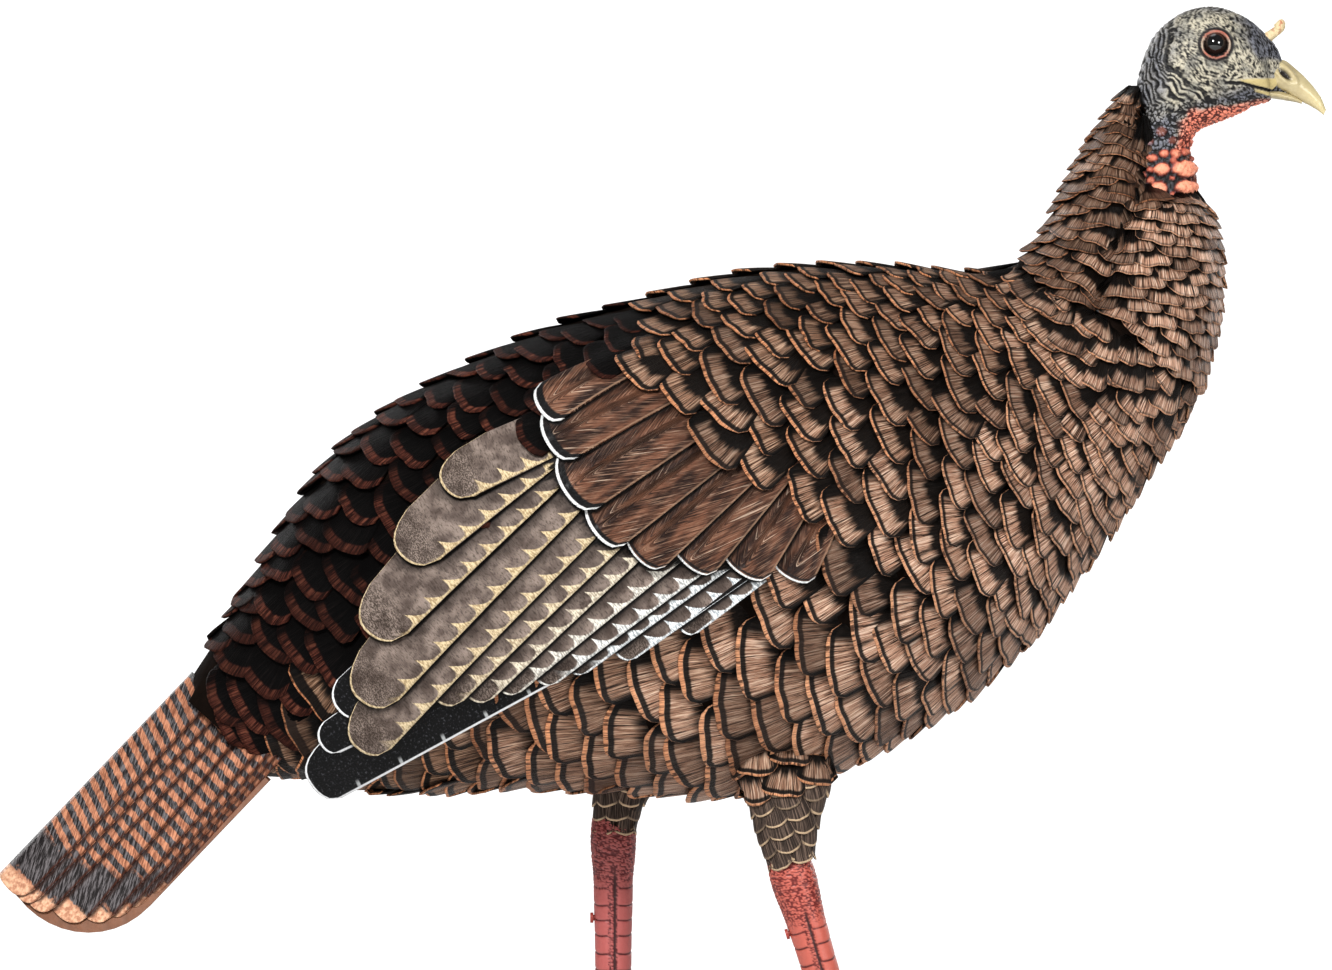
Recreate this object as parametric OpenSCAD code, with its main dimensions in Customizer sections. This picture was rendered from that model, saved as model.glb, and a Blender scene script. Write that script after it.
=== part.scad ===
// Standing hen turkey decoy. A hollow moulded torso carries a twist-lock head and neck,
// two wing panels, a plug-in tail and two plug-in legs with a sliding ground stake in each.
// Millimetres. The bird faces +X, its left side is +Y, and its soles stand on Z = 0.

/* [Shells] */
// Wall of the moulded torso and neck
shell_wall = 3; // [2:0.5:4]
// Wall of the moulded head
head_wall = 2.5; // [2:0.5:3]
// How far a wing panel stands off the torso
wing_thick = 8; // [6:1:10]
// Gap between pieces that sit against each other
seat_gap = 0.3; // [0.2:0.1:0.4]

/* [Neck joint] */
// Radius of the bore in the neck collar
collar_bore_r = 20; // [18:0.5:22]
// Radial running clearance of the spigot in the collar
spigot_clear = 0.05; // [0.02:0.01:0.1]
// Depth of the collar's tube below its flange
collar_depth = 24; // [20:1:28]

/* [Tail] */
// Depth of the folded tail from its ridge to its lower edge
tail_depth = 64; // [60:1:68]
// Half width of the folded tail at its lower edge
tail_half_w = 34; // [30:1:38]
// Wall of the folded tail
tail_wall = 3.5; // [3:0.5:6]
// Length of the tail's tongue inside the rump
tongue_len = 40; // [35:1:42]

/* [Legs] */
// Distance of each leg from the middle plane
leg_y = 46; // [42:1:48]
// Lean of the forward leg, in degrees
right_lean = 16.5; // [14:0.5:18]
// Radius of the steel stake
stake_r = 3; // [2.5:0.5:3.5]
// Length of the steel stake
stake_len = 180; // [170:5:185]

/* [Hidden] */

// Stations are [upper x, upper z, lower x, lower z, half width, roundness]: the two ends of an oval
// section on the middle plane, its half width, and the power that squares it (1 is a true ellipse).
torso = [
    [-244, 204, -201, 164, 29, 1.00],
    [-213, 251, -163, 160, 47, 0.97],
    [-163, 328, -126, 154, 68, 0.92],
    [-84, 377, -76, 157, 86, 0.88],
    [-22, 398, -20, 155, 96, 0.86],
    [45, 416, 36, 152, 101, 0.86],
    [107, 418, 94, 168, 98, 0.88],
    [150, 414, 157, 206, 86, 0.92],
    [168, 415, 207, 262, 71, 0.96],
    [177, 421, 269, 356, 55, 1.00]];
neck = [
    [177, 421, 269, 356, 55, 1],
    [188, 434, 277, 387, 48, 1],
    [196, 450, 279, 416, 42, 1],
    [206, 469, 277, 434, 36, 1],
    [217, 488, 271, 447, 30, 1],
    [230, 508, 269, 450, 25, 1]];
head = [
    [230, 440, 266, 437, 17, 1],
    [235, 467, 266, 461, 15, 1],
    [234.5, 486, 263, 476, 14.5, 1],
    [236, 506, 267, 485, 16, 1],
    [243.5, 530, 276, 489, 18, 1],
    [257.5, 543, 286, 493, 19.5, 1],
    [274, 547, 296, 498, 19, 1],
    [290, 542, 304, 500, 16, 1],
    [303, 532, 310, 501, 12, 1],
    [310, 520, 314, 502, 8.5, 1]];
upper_mandible = [
    [296, 517, 297, 506.5, 5, 1],
    [308, 519, 308, 504.5, 6, 1],
    [316, 516, 315, 502, 5.4, 1],
    [322.5, 509.5, 320, 499.5, 4.2, 1],
    [327.5, 501.5, 325.5, 496.5, 2.4, 1],
    [330.5, 494.5, 329, 494, 0.7, 1]];
lower_mandible = [
    [295, 505.7, 297, 501, 4.4, 1],
    [308, 503.8, 308, 499.5, 4.2, 1],
    [316, 501.3, 315, 498.5, 3.4, 1],
    [320, 498.8, 319.5, 497.6, 2, 1]];

steps = 3;
body_sides = 32;
neck_sides = 28;
head_sides = 24;
bill_sides = 12;
mesh_fn = 48;

eye_r = 6.5;
eye_at = [275.5, 13.2, 528.5];
snood_foot = [303, 0, 528];
snood_top = [309.5, 0, 539];

neck_row = torso[len(torso) - 1];
neck_at = [(neck_row[0] + neck_row[2]) / 2, 0, (neck_row[1] + neck_row[3]) / 2];
neck_tilt = atan2(neck_row[1] - neck_row[3], neck_row[2] - neck_row[0]);
seam_r = norm([neck_row[2] - neck_row[0], neck_row[3] - neck_row[1]]) / 2;
flange_r = 50;
spigot_flange_r = 46;
ledge_thick = 3.5;
spigot_r = collar_bore_r - spigot_clear;
lug_reach = 4;
lug_half_angle = 20;

wing_outline = [[132, 348], [120, 288], [62, 261], [8, 231], [-52, 206], [-142, 170], [-172, 158],
    [-180, 168], [-167, 212], [-137, 252], [-100, 308], [-52, 352], [-12, 382], [57, 392], [102, 378]];
rivet_spots = [[88, 343, 99.8], [20, 330, 105], [-40, 290, 102.8]]; // x, z and the head's seat in y
rivet_r = 2.5;
rivet_tail = 82;
wing_skin_wall = 2.5;
wing_rim = 7;
wing_front_x = 150;
wing_full_x = 30;

tail_root = torso[0];
tail_turn = 133.7;
tail_len = 130;
tongue = [36, 8, 24]; // distance below the ridge, thickness, width
tail_screw_u = -14;
tail_screw_r = 2;
screw_seat = 68;

// Leg places are [foot x, foot y, lean, hock height along the leg]
left_leg = [-26, leg_y, 0, 137];
right_leg = [97, -leg_y, -right_lean, 123];
tube_r = 6;
tube_bore = stake_r + 0.4;
tube_low = 98;
tube_top = 190;
socket_r = 10;
stud_at = 90;
stud_reach = 10;
slot_low = 12;
slot_w = 3.6;
stud_r = 1.5;
tip_at = 2.5;
sole_flat = 1.4;
socket_low = 166;

// A curve through four neighbouring stations, from the second at t = 0 to the third at t = 1
function catmull(a, b, c, d, t) =
    0.5 * (2 * b + (c - a) * t + (2 * a - 5 * b + 4 * c - d) * t * t + (3 * b - a - 3 * c + d) * t * t * t);

function refine(rows) = concat(
    [for (i = [0:len(rows) - 2]) for (j = [0:steps - 1])
        catmull(rows[max(i - 1, 0)], rows[i], rows[i + 1], rows[min(i + 2, len(rows) - 1)], j / steps)],
    [rows[len(rows) - 1]]);

function squared(v, power) = sign(v) * pow(abs(v), power);

function section(row, sides, grow) =
    let (mid = [(row[0] + row[2]) / 2, (row[1] + row[3]) / 2],
         half = [(row[0] - row[2]) / 2, (row[1] - row[3]) / 2],
         up = half / norm(half),
         tall = max(norm(half) + grow, 0.2),
         wide = max(row[4] + grow, 0.2))
    [for (k = [0:sides - 1]) let (a = 360 * k / sides, h = tall * squared(cos(a), row[5]))
        [mid[0] + up[0] * h, wide * squared(sin(a), row[5]), mid[1] + up[1] * h]];

// Shifts a station along x and z
function moved(row, dx, dz) = [row[0] + dx, row[1] + dz, row[2] + dx, row[3] + dz, row[4], row[5]];

// Widens a station to carry a wing panel: nothing at the wing's front edge, all of it further back
function widened(row, thick) =
    let (mid_x = (row[0] + row[2]) / 2,
         share = min(max((wing_front_x - mid_x) / (wing_front_x - wing_full_x), 0), 1))
    [row[0], row[1], row[2], row[3], row[4] + thick * share, row[5]];

// A closed skin over a list of stations
module loft(rows, sides, grow = 0) {
    n = len(rows);
    points = [for (row = rows) each section(row, sides, grow)];
    tail_cap = [[for (k = [sides - 1:-1:0]) k]];
    nose_cap = [[for (k = [0:sides - 1]) (n - 1) * sides + k]];
    walls = [for (i = [0:n - 2]) for (k = [0:sides - 1]) for (half = [0, 1])
        let (a = i * sides + k, b = i * sides + (k + 1) % sides, c = b + sides, d = a + sides)
        half == 0 ? [a, b, c] : [a, c, d]];
    polyhedron(points, concat(tail_cap, walls, nose_cap));
}

// Hands a whole sub-part to the mesh kernel in one piece
module one_mesh() resize([0, 0, 0]) union() { children(); }

module neck_frame() translate(neck_at) rotate([0, neck_tilt, 0]) children();
module tail_frame() translate([tail_root[0], 0, tail_root[1]]) rotate([0, tail_turn, 0]) children();
module leg_frame(leg) translate([leg[0], leg[1], 0]) rotate([0, leg[2], 0]) children();

// ---- Torso ----

module torso_skin(grow) {
    seam = [for (i = [0:1]) seat_gap * [sin(neck_tilt), cos(neck_tilt)][i]];
    rows = refine(torso);
    last = len(rows) - 1;
    loft([for (i = [0:last]) i == last ? moved(rows[i], -seam[0], -seam[1]) : rows[i]], body_sides, grow);
}

// The hollow runs out through the neck seam and stops one wall short of the tail
module torso_hollow(gap) {
    rows = refine(torso);
    last = len(rows) - 1;
    out = 6 * [sin(neck_tilt), cos(neck_tilt)];
    tail_in = (shell_wall + 1 + gap) * [0.69, 0.72];
    loft([for (i = [0:last + 1])
        i == 0 ? moved(rows[0], tail_in[0], tail_in[1]) : i > last ? moved(rows[last], out[0], out[1]) : rows[i]],
        body_sides, -shell_wall - gap);
}

// Inner ledge of a shell that a flange of the neck joint is bonded to
module neck_ledge(low, hole_r) neck_frame() translate([0, 0, low]) difference() {
    cylinder(r = 90, h = ledge_thick, $fn = 24);
    translate([0, 0, -1]) cylinder(r = hole_r, h = ledge_thick + 2, $fn = mesh_fn);
}

module tail_slot(clear) translate([-tongue_len - 2, -tongue[2] / 2 - clear, tongue[0] - clear])
    cube([tongue_len + 6, tongue[2] + 2 * clear, tongue[1] + 2 * clear]);

module tail_screw_path(r, low, high) translate([tail_screw_u, 0, low]) cylinder(r = r, h = high - low);

module body_shell() color("#5b3d2b") one_mesh() difference() {
    union() {
        difference() {
            torso_skin(0);
            difference() {
                torso_hollow(0);
                neck_ledge(-5 - seat_gap - ledge_thick, collar_bore_r + lug_reach + 4 + seat_gap);
            }
        }
        intersection() {
            torso_skin(0);
            tail_frame() tail_screw_path(8, screw_seat - 8, 110, $fn = mesh_fn);
        }
    }
    tail_frame() tail_screw_path(4 + 2 * seat_gap, screw_seat, 110, $fn = mesh_fn);
    tail_frame() tail_slot(seat_gap);
    tail_frame() tail_screw_path(tail_screw_r + seat_gap, 45, 90, $fn = mesh_fn);
    for (leg = [left_leg, right_leg]) leg_frame(leg)
        translate([0, 0, 140]) cylinder(r = socket_r + seat_gap, h = 80, $fn = mesh_fn);
    for (side = [-1, 1]) rivets(side, rivet_r + seat_gap / 2, 0);
}

// Cast weight that follows the floor of the breast
module breast_ballast() color("#4b4b4d") one_mesh() intersection() {
    torso_hollow(seat_gap);
    translate([118, 0, 150]) cylinder(r = 33, h = 58, $fn = mesh_fn);
}

// ---- Wings ----

module rivets(side, r, head) {
    for (spot = rivet_spots) translate([spot[0], 0, spot[1]]) rotate([-side * 90, 0, 0]) {
        translate([0, 0, rivet_tail]) cylinder(r = r, h = spot[2] - rivet_tail, $fn = mesh_fn);
        translate([0, 0, spot[2]]) cylinder(r = r + head, h = head > 0 ? 2 : 20, $fn = mesh_fn);
    }
}

module rivet_pads(side, r, rise) for (spot = rivet_spots) translate([spot[0], 0, spot[1]])
    rotate([-side * 90, 0, 0]) translate([0, 0, rivet_tail]) cylinder(r = r, h = spot[2] + rise - rivet_tail, $fn = 24);

module wing_tip(side) hull() {
    translate([-60, side * 76, 226]) sphere(r = 3.5, $fn = 12);
    translate([-52, side * 68, 210]) sphere(r = 3.5, $fn = 12);
    translate([-174, side * 41, 163]) sphere(r = 3.5, $fn = 12);
    translate([-166, side * 50, 206]) sphere(r = 3.5, $fn = 12);
    translate([-120, side * 66, 250]) sphere(r = 3.5, $fn = 12);
}

module wing_skin(thick, inset) intersection() {
    loft([for (row = refine(torso)) widened(row, thick)], body_sides, 0.8);
    rotate([90, 0, 0]) linear_extrude(260, center = true)
        offset(r = 5, $fn = 24) offset(delta = -5 - inset) polygon(wing_outline);
}

module wing(side) one_mesh() difference() {
    intersection() {
        union() {
            wing_skin(wing_thick, 0);
            wing_tip(side);
            rivet_pads(side, 7, -seat_gap);
        }
        translate([-250, side > 0 ? 0 : -130, 100]) cube([450, 130, 350]);
    }
    torso_skin(seat_gap);
    difference() {
        wing_skin(wing_thick - wing_skin_wall, wing_rim);
        rivet_pads(side, 7, 0);
    }
    rivets(side, rivet_r + seat_gap / 2, 0);
}

module left_wing() color("#75604d") wing(1);
module right_wing() color("#75604d") wing(-1);
module wing_rivets() color("#2b2622") for (side = [-1, 1]) rivets(side, rivet_r, 2.5);

// ---- Tail ----

function roof_half(v) = tail_half_w * pow(max(v, 0) / tail_depth, 0.62);

// Cross-section of the folded tail: an arched roof with a keel under its ridge
module tail_roof() difference() {
    polygon([for (s = [-1, 1]) for (i = [0:8]) let (v = tail_depth * (s < 0 ? 1 - i / 8 : i / 8))
        [s * roof_half(v), v]]);
    for (s = [-1, 1]) polygon(concat([[s * 2, 12]],
        [for (i = [1:6]) let (v = 8 + (tail_depth - 8) * i / 6) [s * max(roof_half(v) - tail_wall, 3), v + 0.5]],
        [[s * 2, tail_depth + 0.5]]));
}

// Side outline of the folded tail, with a rounded end
module tail_side() polygon(concat([[seat_gap, 0]],
    [for (a = [-27:9:90]) [tail_len - 42 + 42 * cos(a), 20 + 44 * sin(a)]],
    [[seat_gap, tail_depth]]));

module tail_fan() color("#a9683f") tail_frame() difference() {
    union() {
        intersection() {
            rotate([90, 0, 90]) linear_extrude(tail_len + 2) tail_roof();
            translate([0, 50, 0]) rotate([90, 0, 0]) linear_extrude(100) tail_side();
        }
        translate([seat_gap, -13, 20]) cube([8, 26, 30]);
        translate([-tongue_len, -tongue[2] / 2, tongue[0]])
            cube([tongue_len + 2, tongue[2], tongue[1]]);
    }
    tail_screw_path(tail_screw_r + 0.05, tongue[0] - 1, tongue[0] + tongue[1] + 1);
}

module tail_socket() color("#2f2f31") one_mesh() difference() {
    intersection() {
        tail_frame() union() {
            translate([-tongue_len - 2, -tongue[2] / 2 - 4, tongue[0] - 4])
                cube([tongue_len - 4, tongue[2] + 8, tongue[1] + 8]);
            tail_screw_path(6, tongue[0] + tongue[1], screw_seat - 8 - seat_gap, $fn = mesh_fn);
        }
        torso_hollow(seat_gap);
    }
    tail_frame() tail_slot(0.15);
    tail_frame() tail_screw_path(tail_screw_r + 0.2, 30, 90, $fn = mesh_fn);
}

module tail_screw() color("#8d8f92") tail_frame() {
    tail_screw_path(tail_screw_r, tongue[0] + 0.5, screw_seat + seat_gap);
    tail_screw_path(4, screw_seat + seat_gap, screw_seat + seat_gap + 2.4);
}

// ---- Neck joint ----

module lug_sector(r, half_angle, low, high) intersection() {
    translate([0, 0, low]) cylinder(r = r, h = high - low);
    for (s = [0, 180]) rotate([0, 0, s]) translate([0, 0, low])
        linear_extrude(high - low) polygon([[0, 0], [60 * cos(half_angle), -60 * sin(half_angle)],
            [60 * cos(half_angle), 60 * sin(half_angle)]]);
}

module neck_collar() color("#2f2f31") neck_frame() difference() {
    union() {
        translate([0, 0, -5]) cylinder(r = flange_r, h = 4);
        translate([0, 0, -collar_depth - 5]) cylinder(r = collar_bore_r + lug_reach + 4, h = collar_depth + 1);
    }
    translate([0, 0, -collar_depth - 6]) cylinder(r = collar_bore_r, h = collar_depth + 6);
    lug_sector(collar_bore_r + lug_reach + 0.5, lug_half_angle + 2, -collar_depth - 6, 0);
}

module neck_spigot() color("#38383b") neck_frame() difference() {
    union() {
        translate([0, 0, 2 * seat_gap]) cylinder(r = spigot_flange_r, h = 4);
        translate([0, 0, -collar_depth - 10]) cylinder(r = spigot_r, h = collar_depth + 12);
        rotate([0, 0, 90]) lug_sector(collar_bore_r + lug_reach, lug_half_angle,
            -collar_depth - 9.5, -collar_depth - 5.5);
    }
    translate([0, 0, -collar_depth - 11]) cylinder(r = spigot_r - 5, h = collar_depth + 20);
    translate([0, 0, -14.3]) difference() {
        cylinder(r = spigot_r + 2, h = 2.6);
        translate([0, 0, -1]) cylinder(r = spigot_r - 2.2, h = 5);
    }
}

module neck_o_ring() color("#161616") neck_frame() translate([0, 0, -13])
    rotate_extrude() translate([spigot_r - 1.1, 0]) circle(r = 1);

// ---- Head and neck ----

module head_skin(grow) loft(refine(head), head_sides, grow);

module neck_shell() color("#6a4230") one_mesh() difference() {
    rows = refine(neck);
    last = len(rows) - 1;
    seam = seat_gap * [sin(neck_tilt), cos(neck_tilt)];
    base = 8 * [sin(neck_tilt), cos(neck_tilt)];
    loft([for (i = [0:last]) i == 0 ? moved(rows[0], seam[0], seam[1]) : rows[i]], neck_sides, 0);
    difference() {
        loft([for (i = [-1:last - 4]) i < 0 ? moved(rows[0], -base[0], -base[1]) : rows[i]], neck_sides, -shell_wall);
        neck_ledge(4 + 3 * seat_gap, spigot_r - 4);
    }
    head_skin(seat_gap);
}

module eyes(r, sides) for (s = [-1, 1]) translate([eye_at[0], s * eye_at[1], eye_at[2]])
    sphere(r = r, $fn = sides);

module bill(rows, grow) loft(refine(rows), bill_sides, grow);

module snood_body(r) hull() {
    translate(snood_foot) sphere(r = r, $fn = 12);
    translate(snood_top) sphere(r = r * 0.9, $fn = 12);
}

module head_shell() color("#6f6a62") one_mesh() difference() {
    head_skin(0);
    loft([for (i = [1:len(refine(head)) - 5]) refine(head)[i]], head_sides, -head_wall);
    eyes(eye_r + 0.2, 24);
    bill(upper_mandible, 0.15);
    bill(lower_mandible, 0.15);
    snood_body(2.15);
}

module upper_bill() color("#cdbb83") bill(upper_mandible, 0);
module lower_bill() color("#c2ae78") bill(lower_mandible, 0);
module left_eye() color("#1c120c") translate(eye_at) sphere(r = eye_r);
module right_eye() color("#1c120c") translate([eye_at[0], -eye_at[1], eye_at[2]]) sphere(r = eye_r);
module snood() color("#d98b6a") snood_body(2);

// ---- Legs ----

module leg_tube(leg) leg_frame(leg) translate([0, 0, tube_low]) difference() {
    cylinder(r = tube_r, h = tube_top - tube_low);
    translate([0, 0, -1]) cylinder(r = tube_bore, h = tube_top - tube_low + 2);
}

module leg_socket(leg) leg_frame(leg) difference() {
    translate([0, 0, socket_low]) cylinder(r = socket_r, h = tube_top + 3 - socket_low);
    translate([0, 0, socket_low - 1]) cylinder(r = tube_r + 0.05, h = tube_top + seat_gap + 1 - socket_low);
}

// Feathered thigh: wide and forward where it meets the belly, narrow at the hock
module thigh(leg, rows) one_mesh() difference() {
    translate([leg[0], leg[1], 0]) loft([for (row = rows) thigh_station(row, leg[2])], neck_sides, 0);
    torso_skin(seat_gap);
    leg_frame(leg) translate([0, 0, 60]) cylinder(r = tube_r + 0.15, h = 160, $fn = mesh_fn);
    leg_frame(leg) translate([0, 0, socket_low - seat_gap]) cylinder(r = socket_r + seat_gap, h = 60, $fn = mesh_fn);
    leg_frame(leg) translate([0, 0, leg[3] - 40]) cylinder(r = 30, h = 40 + seat_gap, $fn = mesh_fn);
}

// Thigh rows are [distance up the leg, shift forward, half length, half width]
left_thigh_rows = [[176, 10, 22, 19], [160, 7, 17, 16], [148, 3, 12.5, 12], [135, 0.5, 9.5, 9.5]];
right_thigh_rows = [[176, 17, 27, 20], [158, 12, 23, 17], [137, 4, 15, 13.5], [121, 1, 10.5, 10.5]];

function thigh_station(row, lean) =
    let (x = row[0] * sin(lean) + row[1], z = row[0] * cos(lean))
    [x + row[2], z + 2, x - row[2], z - 2, row[3], 1];

module shank(leg) leg_frame(leg) difference() {
    rotate_extrude() polygon([[0, 9], [9.2, 9], [9.4, 14], [8.8, 45], [9.1, 80], [10, leg[3] - 26],
        [11.3, leg[3] - 14], [11.7, leg[3] - 6], [10.8, leg[3]], [0, leg[3]]]);
    translate([0, 0, 5]) cylinder(r = tube_bore, h = 140);
    translate([0, 0, tube_low - 0.3]) cylinder(r = tube_r + 0.05, h = 60);
    translate([-20, -slot_w / 2, slot_low]) cube([20, slot_w, stud_at + 4 - slot_low]);
}

// Toes are [turn about the leg, reach, root radius]; a turn is outward for the forward toes
toes = [[4, 62, 6.2], [38, 48, 5.6], [-32, 50, 5.6], [-170, 36, 5.2]];

module toe(turn, reach, r) rotate([0, 0, turn]) loft([
    [-2, 2.1 * r, -2, 0, r, 1], [reach * 0.3, 1.75 * r, reach * 0.3, 0, r * 0.86, 0.85],
    [reach * 0.62, 1.7 * r, reach * 0.62, 0, r * 0.84, 0.85], [reach * 0.8, 1.3 * r, reach * 0.8, 0, r * 0.66, 0.9],
    [reach * 0.93, 0.9 * r, reach * 0.93, 0.2, r * 0.4, 1], [reach * 1.08, 0.25 * r, reach * 1.08, 0.1, 0.6, 1]],
    bill_sides);

module foot(leg) one_mesh() intersection() {
    difference() {
        translate([leg[0], leg[1], -sole_flat]) {
            for (t = toes) toe(sign(leg[1]) * t[0], t[1], t[2]);
            translate([0, 0, 4]) scale([1, 1, 0.8]) sphere(r = 13, $fn = 24);
        }
        leg_frame(leg) translate([0, 0, -10]) cylinder(r = tube_r + 0.15, h = 40, $fn = mesh_fn);
        leg_frame(leg) translate([0, 0, 9 - seat_gap]) cylinder(r = 14, h = 20, $fn = mesh_fn);
    }
    translate([leg[0] - 60, leg[1] - 60, 0]) cube([160, 120, 60]);
}

module stake_bush(leg) leg_frame(leg) translate([0, 0, 2.5]) difference() {
    cylinder(r = tube_r, h = 6.2);
    translate([0, 0, -1]) cylinder(r = stake_r + 0.03, h = 9);
}

module stake(leg) leg_frame(leg) difference() {
    union() {
        translate([0, 0, tip_at]) cylinder(r1 = 0.4, r2 = stake_r, h = 12);
        translate([0, 0, tip_at + 12]) cylinder(r = stake_r, h = stake_len - 12);
    }
    translate([0, 0, stud_at]) rotate([0, -90, 0]) cylinder(r = stud_r + 0.02, h = 10);
}

module stake_stud(leg) leg_frame(leg) translate([0, 0, stud_at]) rotate([0, -90, 0]) {
    translate([0, 0, 0.2]) cylinder(r = stud_r, h = stud_reach - 0.1);
    translate([0, 0, stud_reach]) cylinder(r = 2.6, h = 1.6);
}

module left_leg_socket() color("#2f2f31") leg_socket(left_leg);
module right_leg_socket() color("#2f2f31") leg_socket(right_leg);
module left_leg_tube() color("#b9bbbe") leg_tube(left_leg);
module right_leg_tube() color("#b9bbbe") leg_tube(right_leg);
module left_thigh() color("#3f352c") thigh(left_leg, left_thigh_rows);
module right_thigh() color("#3f352c") thigh(right_leg, right_thigh_rows);
module left_shank() color("#b4544c") shank(left_leg);
module right_shank() color("#c75a4a") shank(right_leg);
module left_foot() color("#b4544c") foot(left_leg);
module right_foot() color("#c75a4a") foot(right_leg);
module left_stake_bush() color("#161616") stake_bush(left_leg);
module right_stake_bush() color("#161616") stake_bush(right_leg);
module left_stake() color("#8d8f92") stake(left_leg);
module right_stake() color("#8d8f92") stake(right_leg);
module left_stake_stud() color("#8d8f92") stake_stud(left_leg);
module right_stake_stud() color("#8d8f92") stake_stud(right_leg);

body_shell();
breast_ballast();
left_wing();
right_wing();
wing_rivets();
tail_fan();
tail_socket();
tail_screw();
neck_collar();
neck_spigot();
neck_o_ring();
neck_shell();
head_shell();
upper_bill();
lower_bill();
left_eye();
right_eye();
snood();
left_leg_socket();
right_leg_socket();
left_leg_tube();
right_leg_tube();
left_thigh();
right_thigh();
left_shank();
right_shank();
left_foot();
right_foot();
left_stake_bush();
right_stake_bush();
left_stake();
right_stake();
left_stake_stud();
right_stake_stud();
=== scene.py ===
import math

import bpy
import numpy as np
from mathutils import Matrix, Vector, noise
from mathutils.bvhtree import BVHTree


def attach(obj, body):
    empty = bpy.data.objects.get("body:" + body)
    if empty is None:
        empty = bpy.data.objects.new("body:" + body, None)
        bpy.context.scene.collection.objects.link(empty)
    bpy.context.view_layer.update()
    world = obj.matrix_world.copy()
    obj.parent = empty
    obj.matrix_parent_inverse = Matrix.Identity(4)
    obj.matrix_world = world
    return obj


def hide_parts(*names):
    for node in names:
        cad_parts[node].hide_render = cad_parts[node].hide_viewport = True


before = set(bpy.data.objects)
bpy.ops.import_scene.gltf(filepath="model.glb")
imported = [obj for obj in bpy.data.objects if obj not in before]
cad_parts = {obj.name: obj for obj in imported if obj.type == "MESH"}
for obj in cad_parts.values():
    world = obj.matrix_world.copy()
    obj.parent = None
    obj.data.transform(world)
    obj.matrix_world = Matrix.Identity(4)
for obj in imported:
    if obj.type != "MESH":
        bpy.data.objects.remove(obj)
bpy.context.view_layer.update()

MM = 0.001
rng = np.random.default_rng(11)
scene = bpy.context.scene


# ---------------------------------------------------------------- camera, light, floor

def look_at(obj, target):
    obj.rotation_euler = (Vector(target) - obj.location).to_track_quat("-Z", "Y").to_euler()


def make_camera():
    data = bpy.data.cameras.new("camera")
    cam = bpy.data.objects.new("camera", data)
    scene.collection.objects.link(cam)
    cam.location = (0.0005, -14, 0.3075)
    look_at(cam, (0.0005, 0, 0.3075))
    data.sensor_width = 36
    data.lens = 36 * 13.97 / 0.666
    scene.camera = cam


def area_light(name, loc, target, size, power, colour=(1, 1, 1)):
    data = bpy.data.lights.new(name, "AREA")
    data.shape = "DISK"
    data.size, data.energy, data.color = size, power, colour
    lamp = bpy.data.objects.new(name, data)
    scene.collection.objects.link(lamp)
    lamp.location = loc
    look_at(lamp, target)


def make_stage():
    """A round pale floor, small enough to be evenly lit to its edge."""
    ring = [(1.5 * math.cos(a), 1.5 * math.sin(a), 0) for a in np.linspace(0, 2 * math.pi, 96, endpoint=False)]
    me = bpy.data.meshes.new("floor")
    me.from_pydata(ring, [], [tuple(range(96))])
    floor = bpy.data.objects.new("floor", me)
    scene.collection.objects.link(floor)
    mat = bpy.data.materials.new("floor")
    mat.use_nodes = True
    bsdf = mat.node_tree.nodes["Principled BSDF"]
    bsdf.inputs["Base Color"].default_value = (0.93, 0.93, 0.93, 1)
    bsdf.inputs["Roughness"].default_value = 0.9
    me.materials.append(mat)


def make_world():
    """White to look at, but only a weak light, so that the blacks of the plumage stay black."""
    world = bpy.data.worlds.new("studio")
    scene.world = world
    world.use_nodes = True
    tree = world.node_tree
    path = tree.nodes.new("ShaderNodeLightPath")
    gain = tree.nodes.new("ShaderNodeMath")
    gain.operation = "MULTIPLY_ADD"
    gain.inputs[1].default_value, gain.inputs[2].default_value = 0.84, 0.2
    tree.links.new(path.outputs["Is Camera Ray"], gain.inputs[0])
    tree.links.new(gain.outputs[0], tree.nodes["Background"].inputs["Strength"])
    tree.nodes["Background"].inputs["Color"].default_value = (1, 1, 1, 1)


make_camera()
make_world()
make_stage()
area_light("key", (-0.8, -2.1, 1.75), (0, 0, 0.3), 0.7, 66)
area_light("fill", (1.8, -2.0, 0.95), (0, 0, 0.3), 0.8, 30)
area_light("top", (-0.3, 0.3, 2.6), (0, 0, 0.3), 1.6, 10)
area_light("back", (-1.3, 2.2, 1.4), (0, 0, 0.3), 1.0, 22)
area_light("back_fill", (1.6, 2.0, 0.9), (0, 0, 0.3), 1.0, 12)
scene.view_settings.view_transform = "Standard"
scene.view_settings.exposure, scene.view_settings.gamma = 0.22, 0.87


# ---------------------------------------------------------------- material graphs

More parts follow.
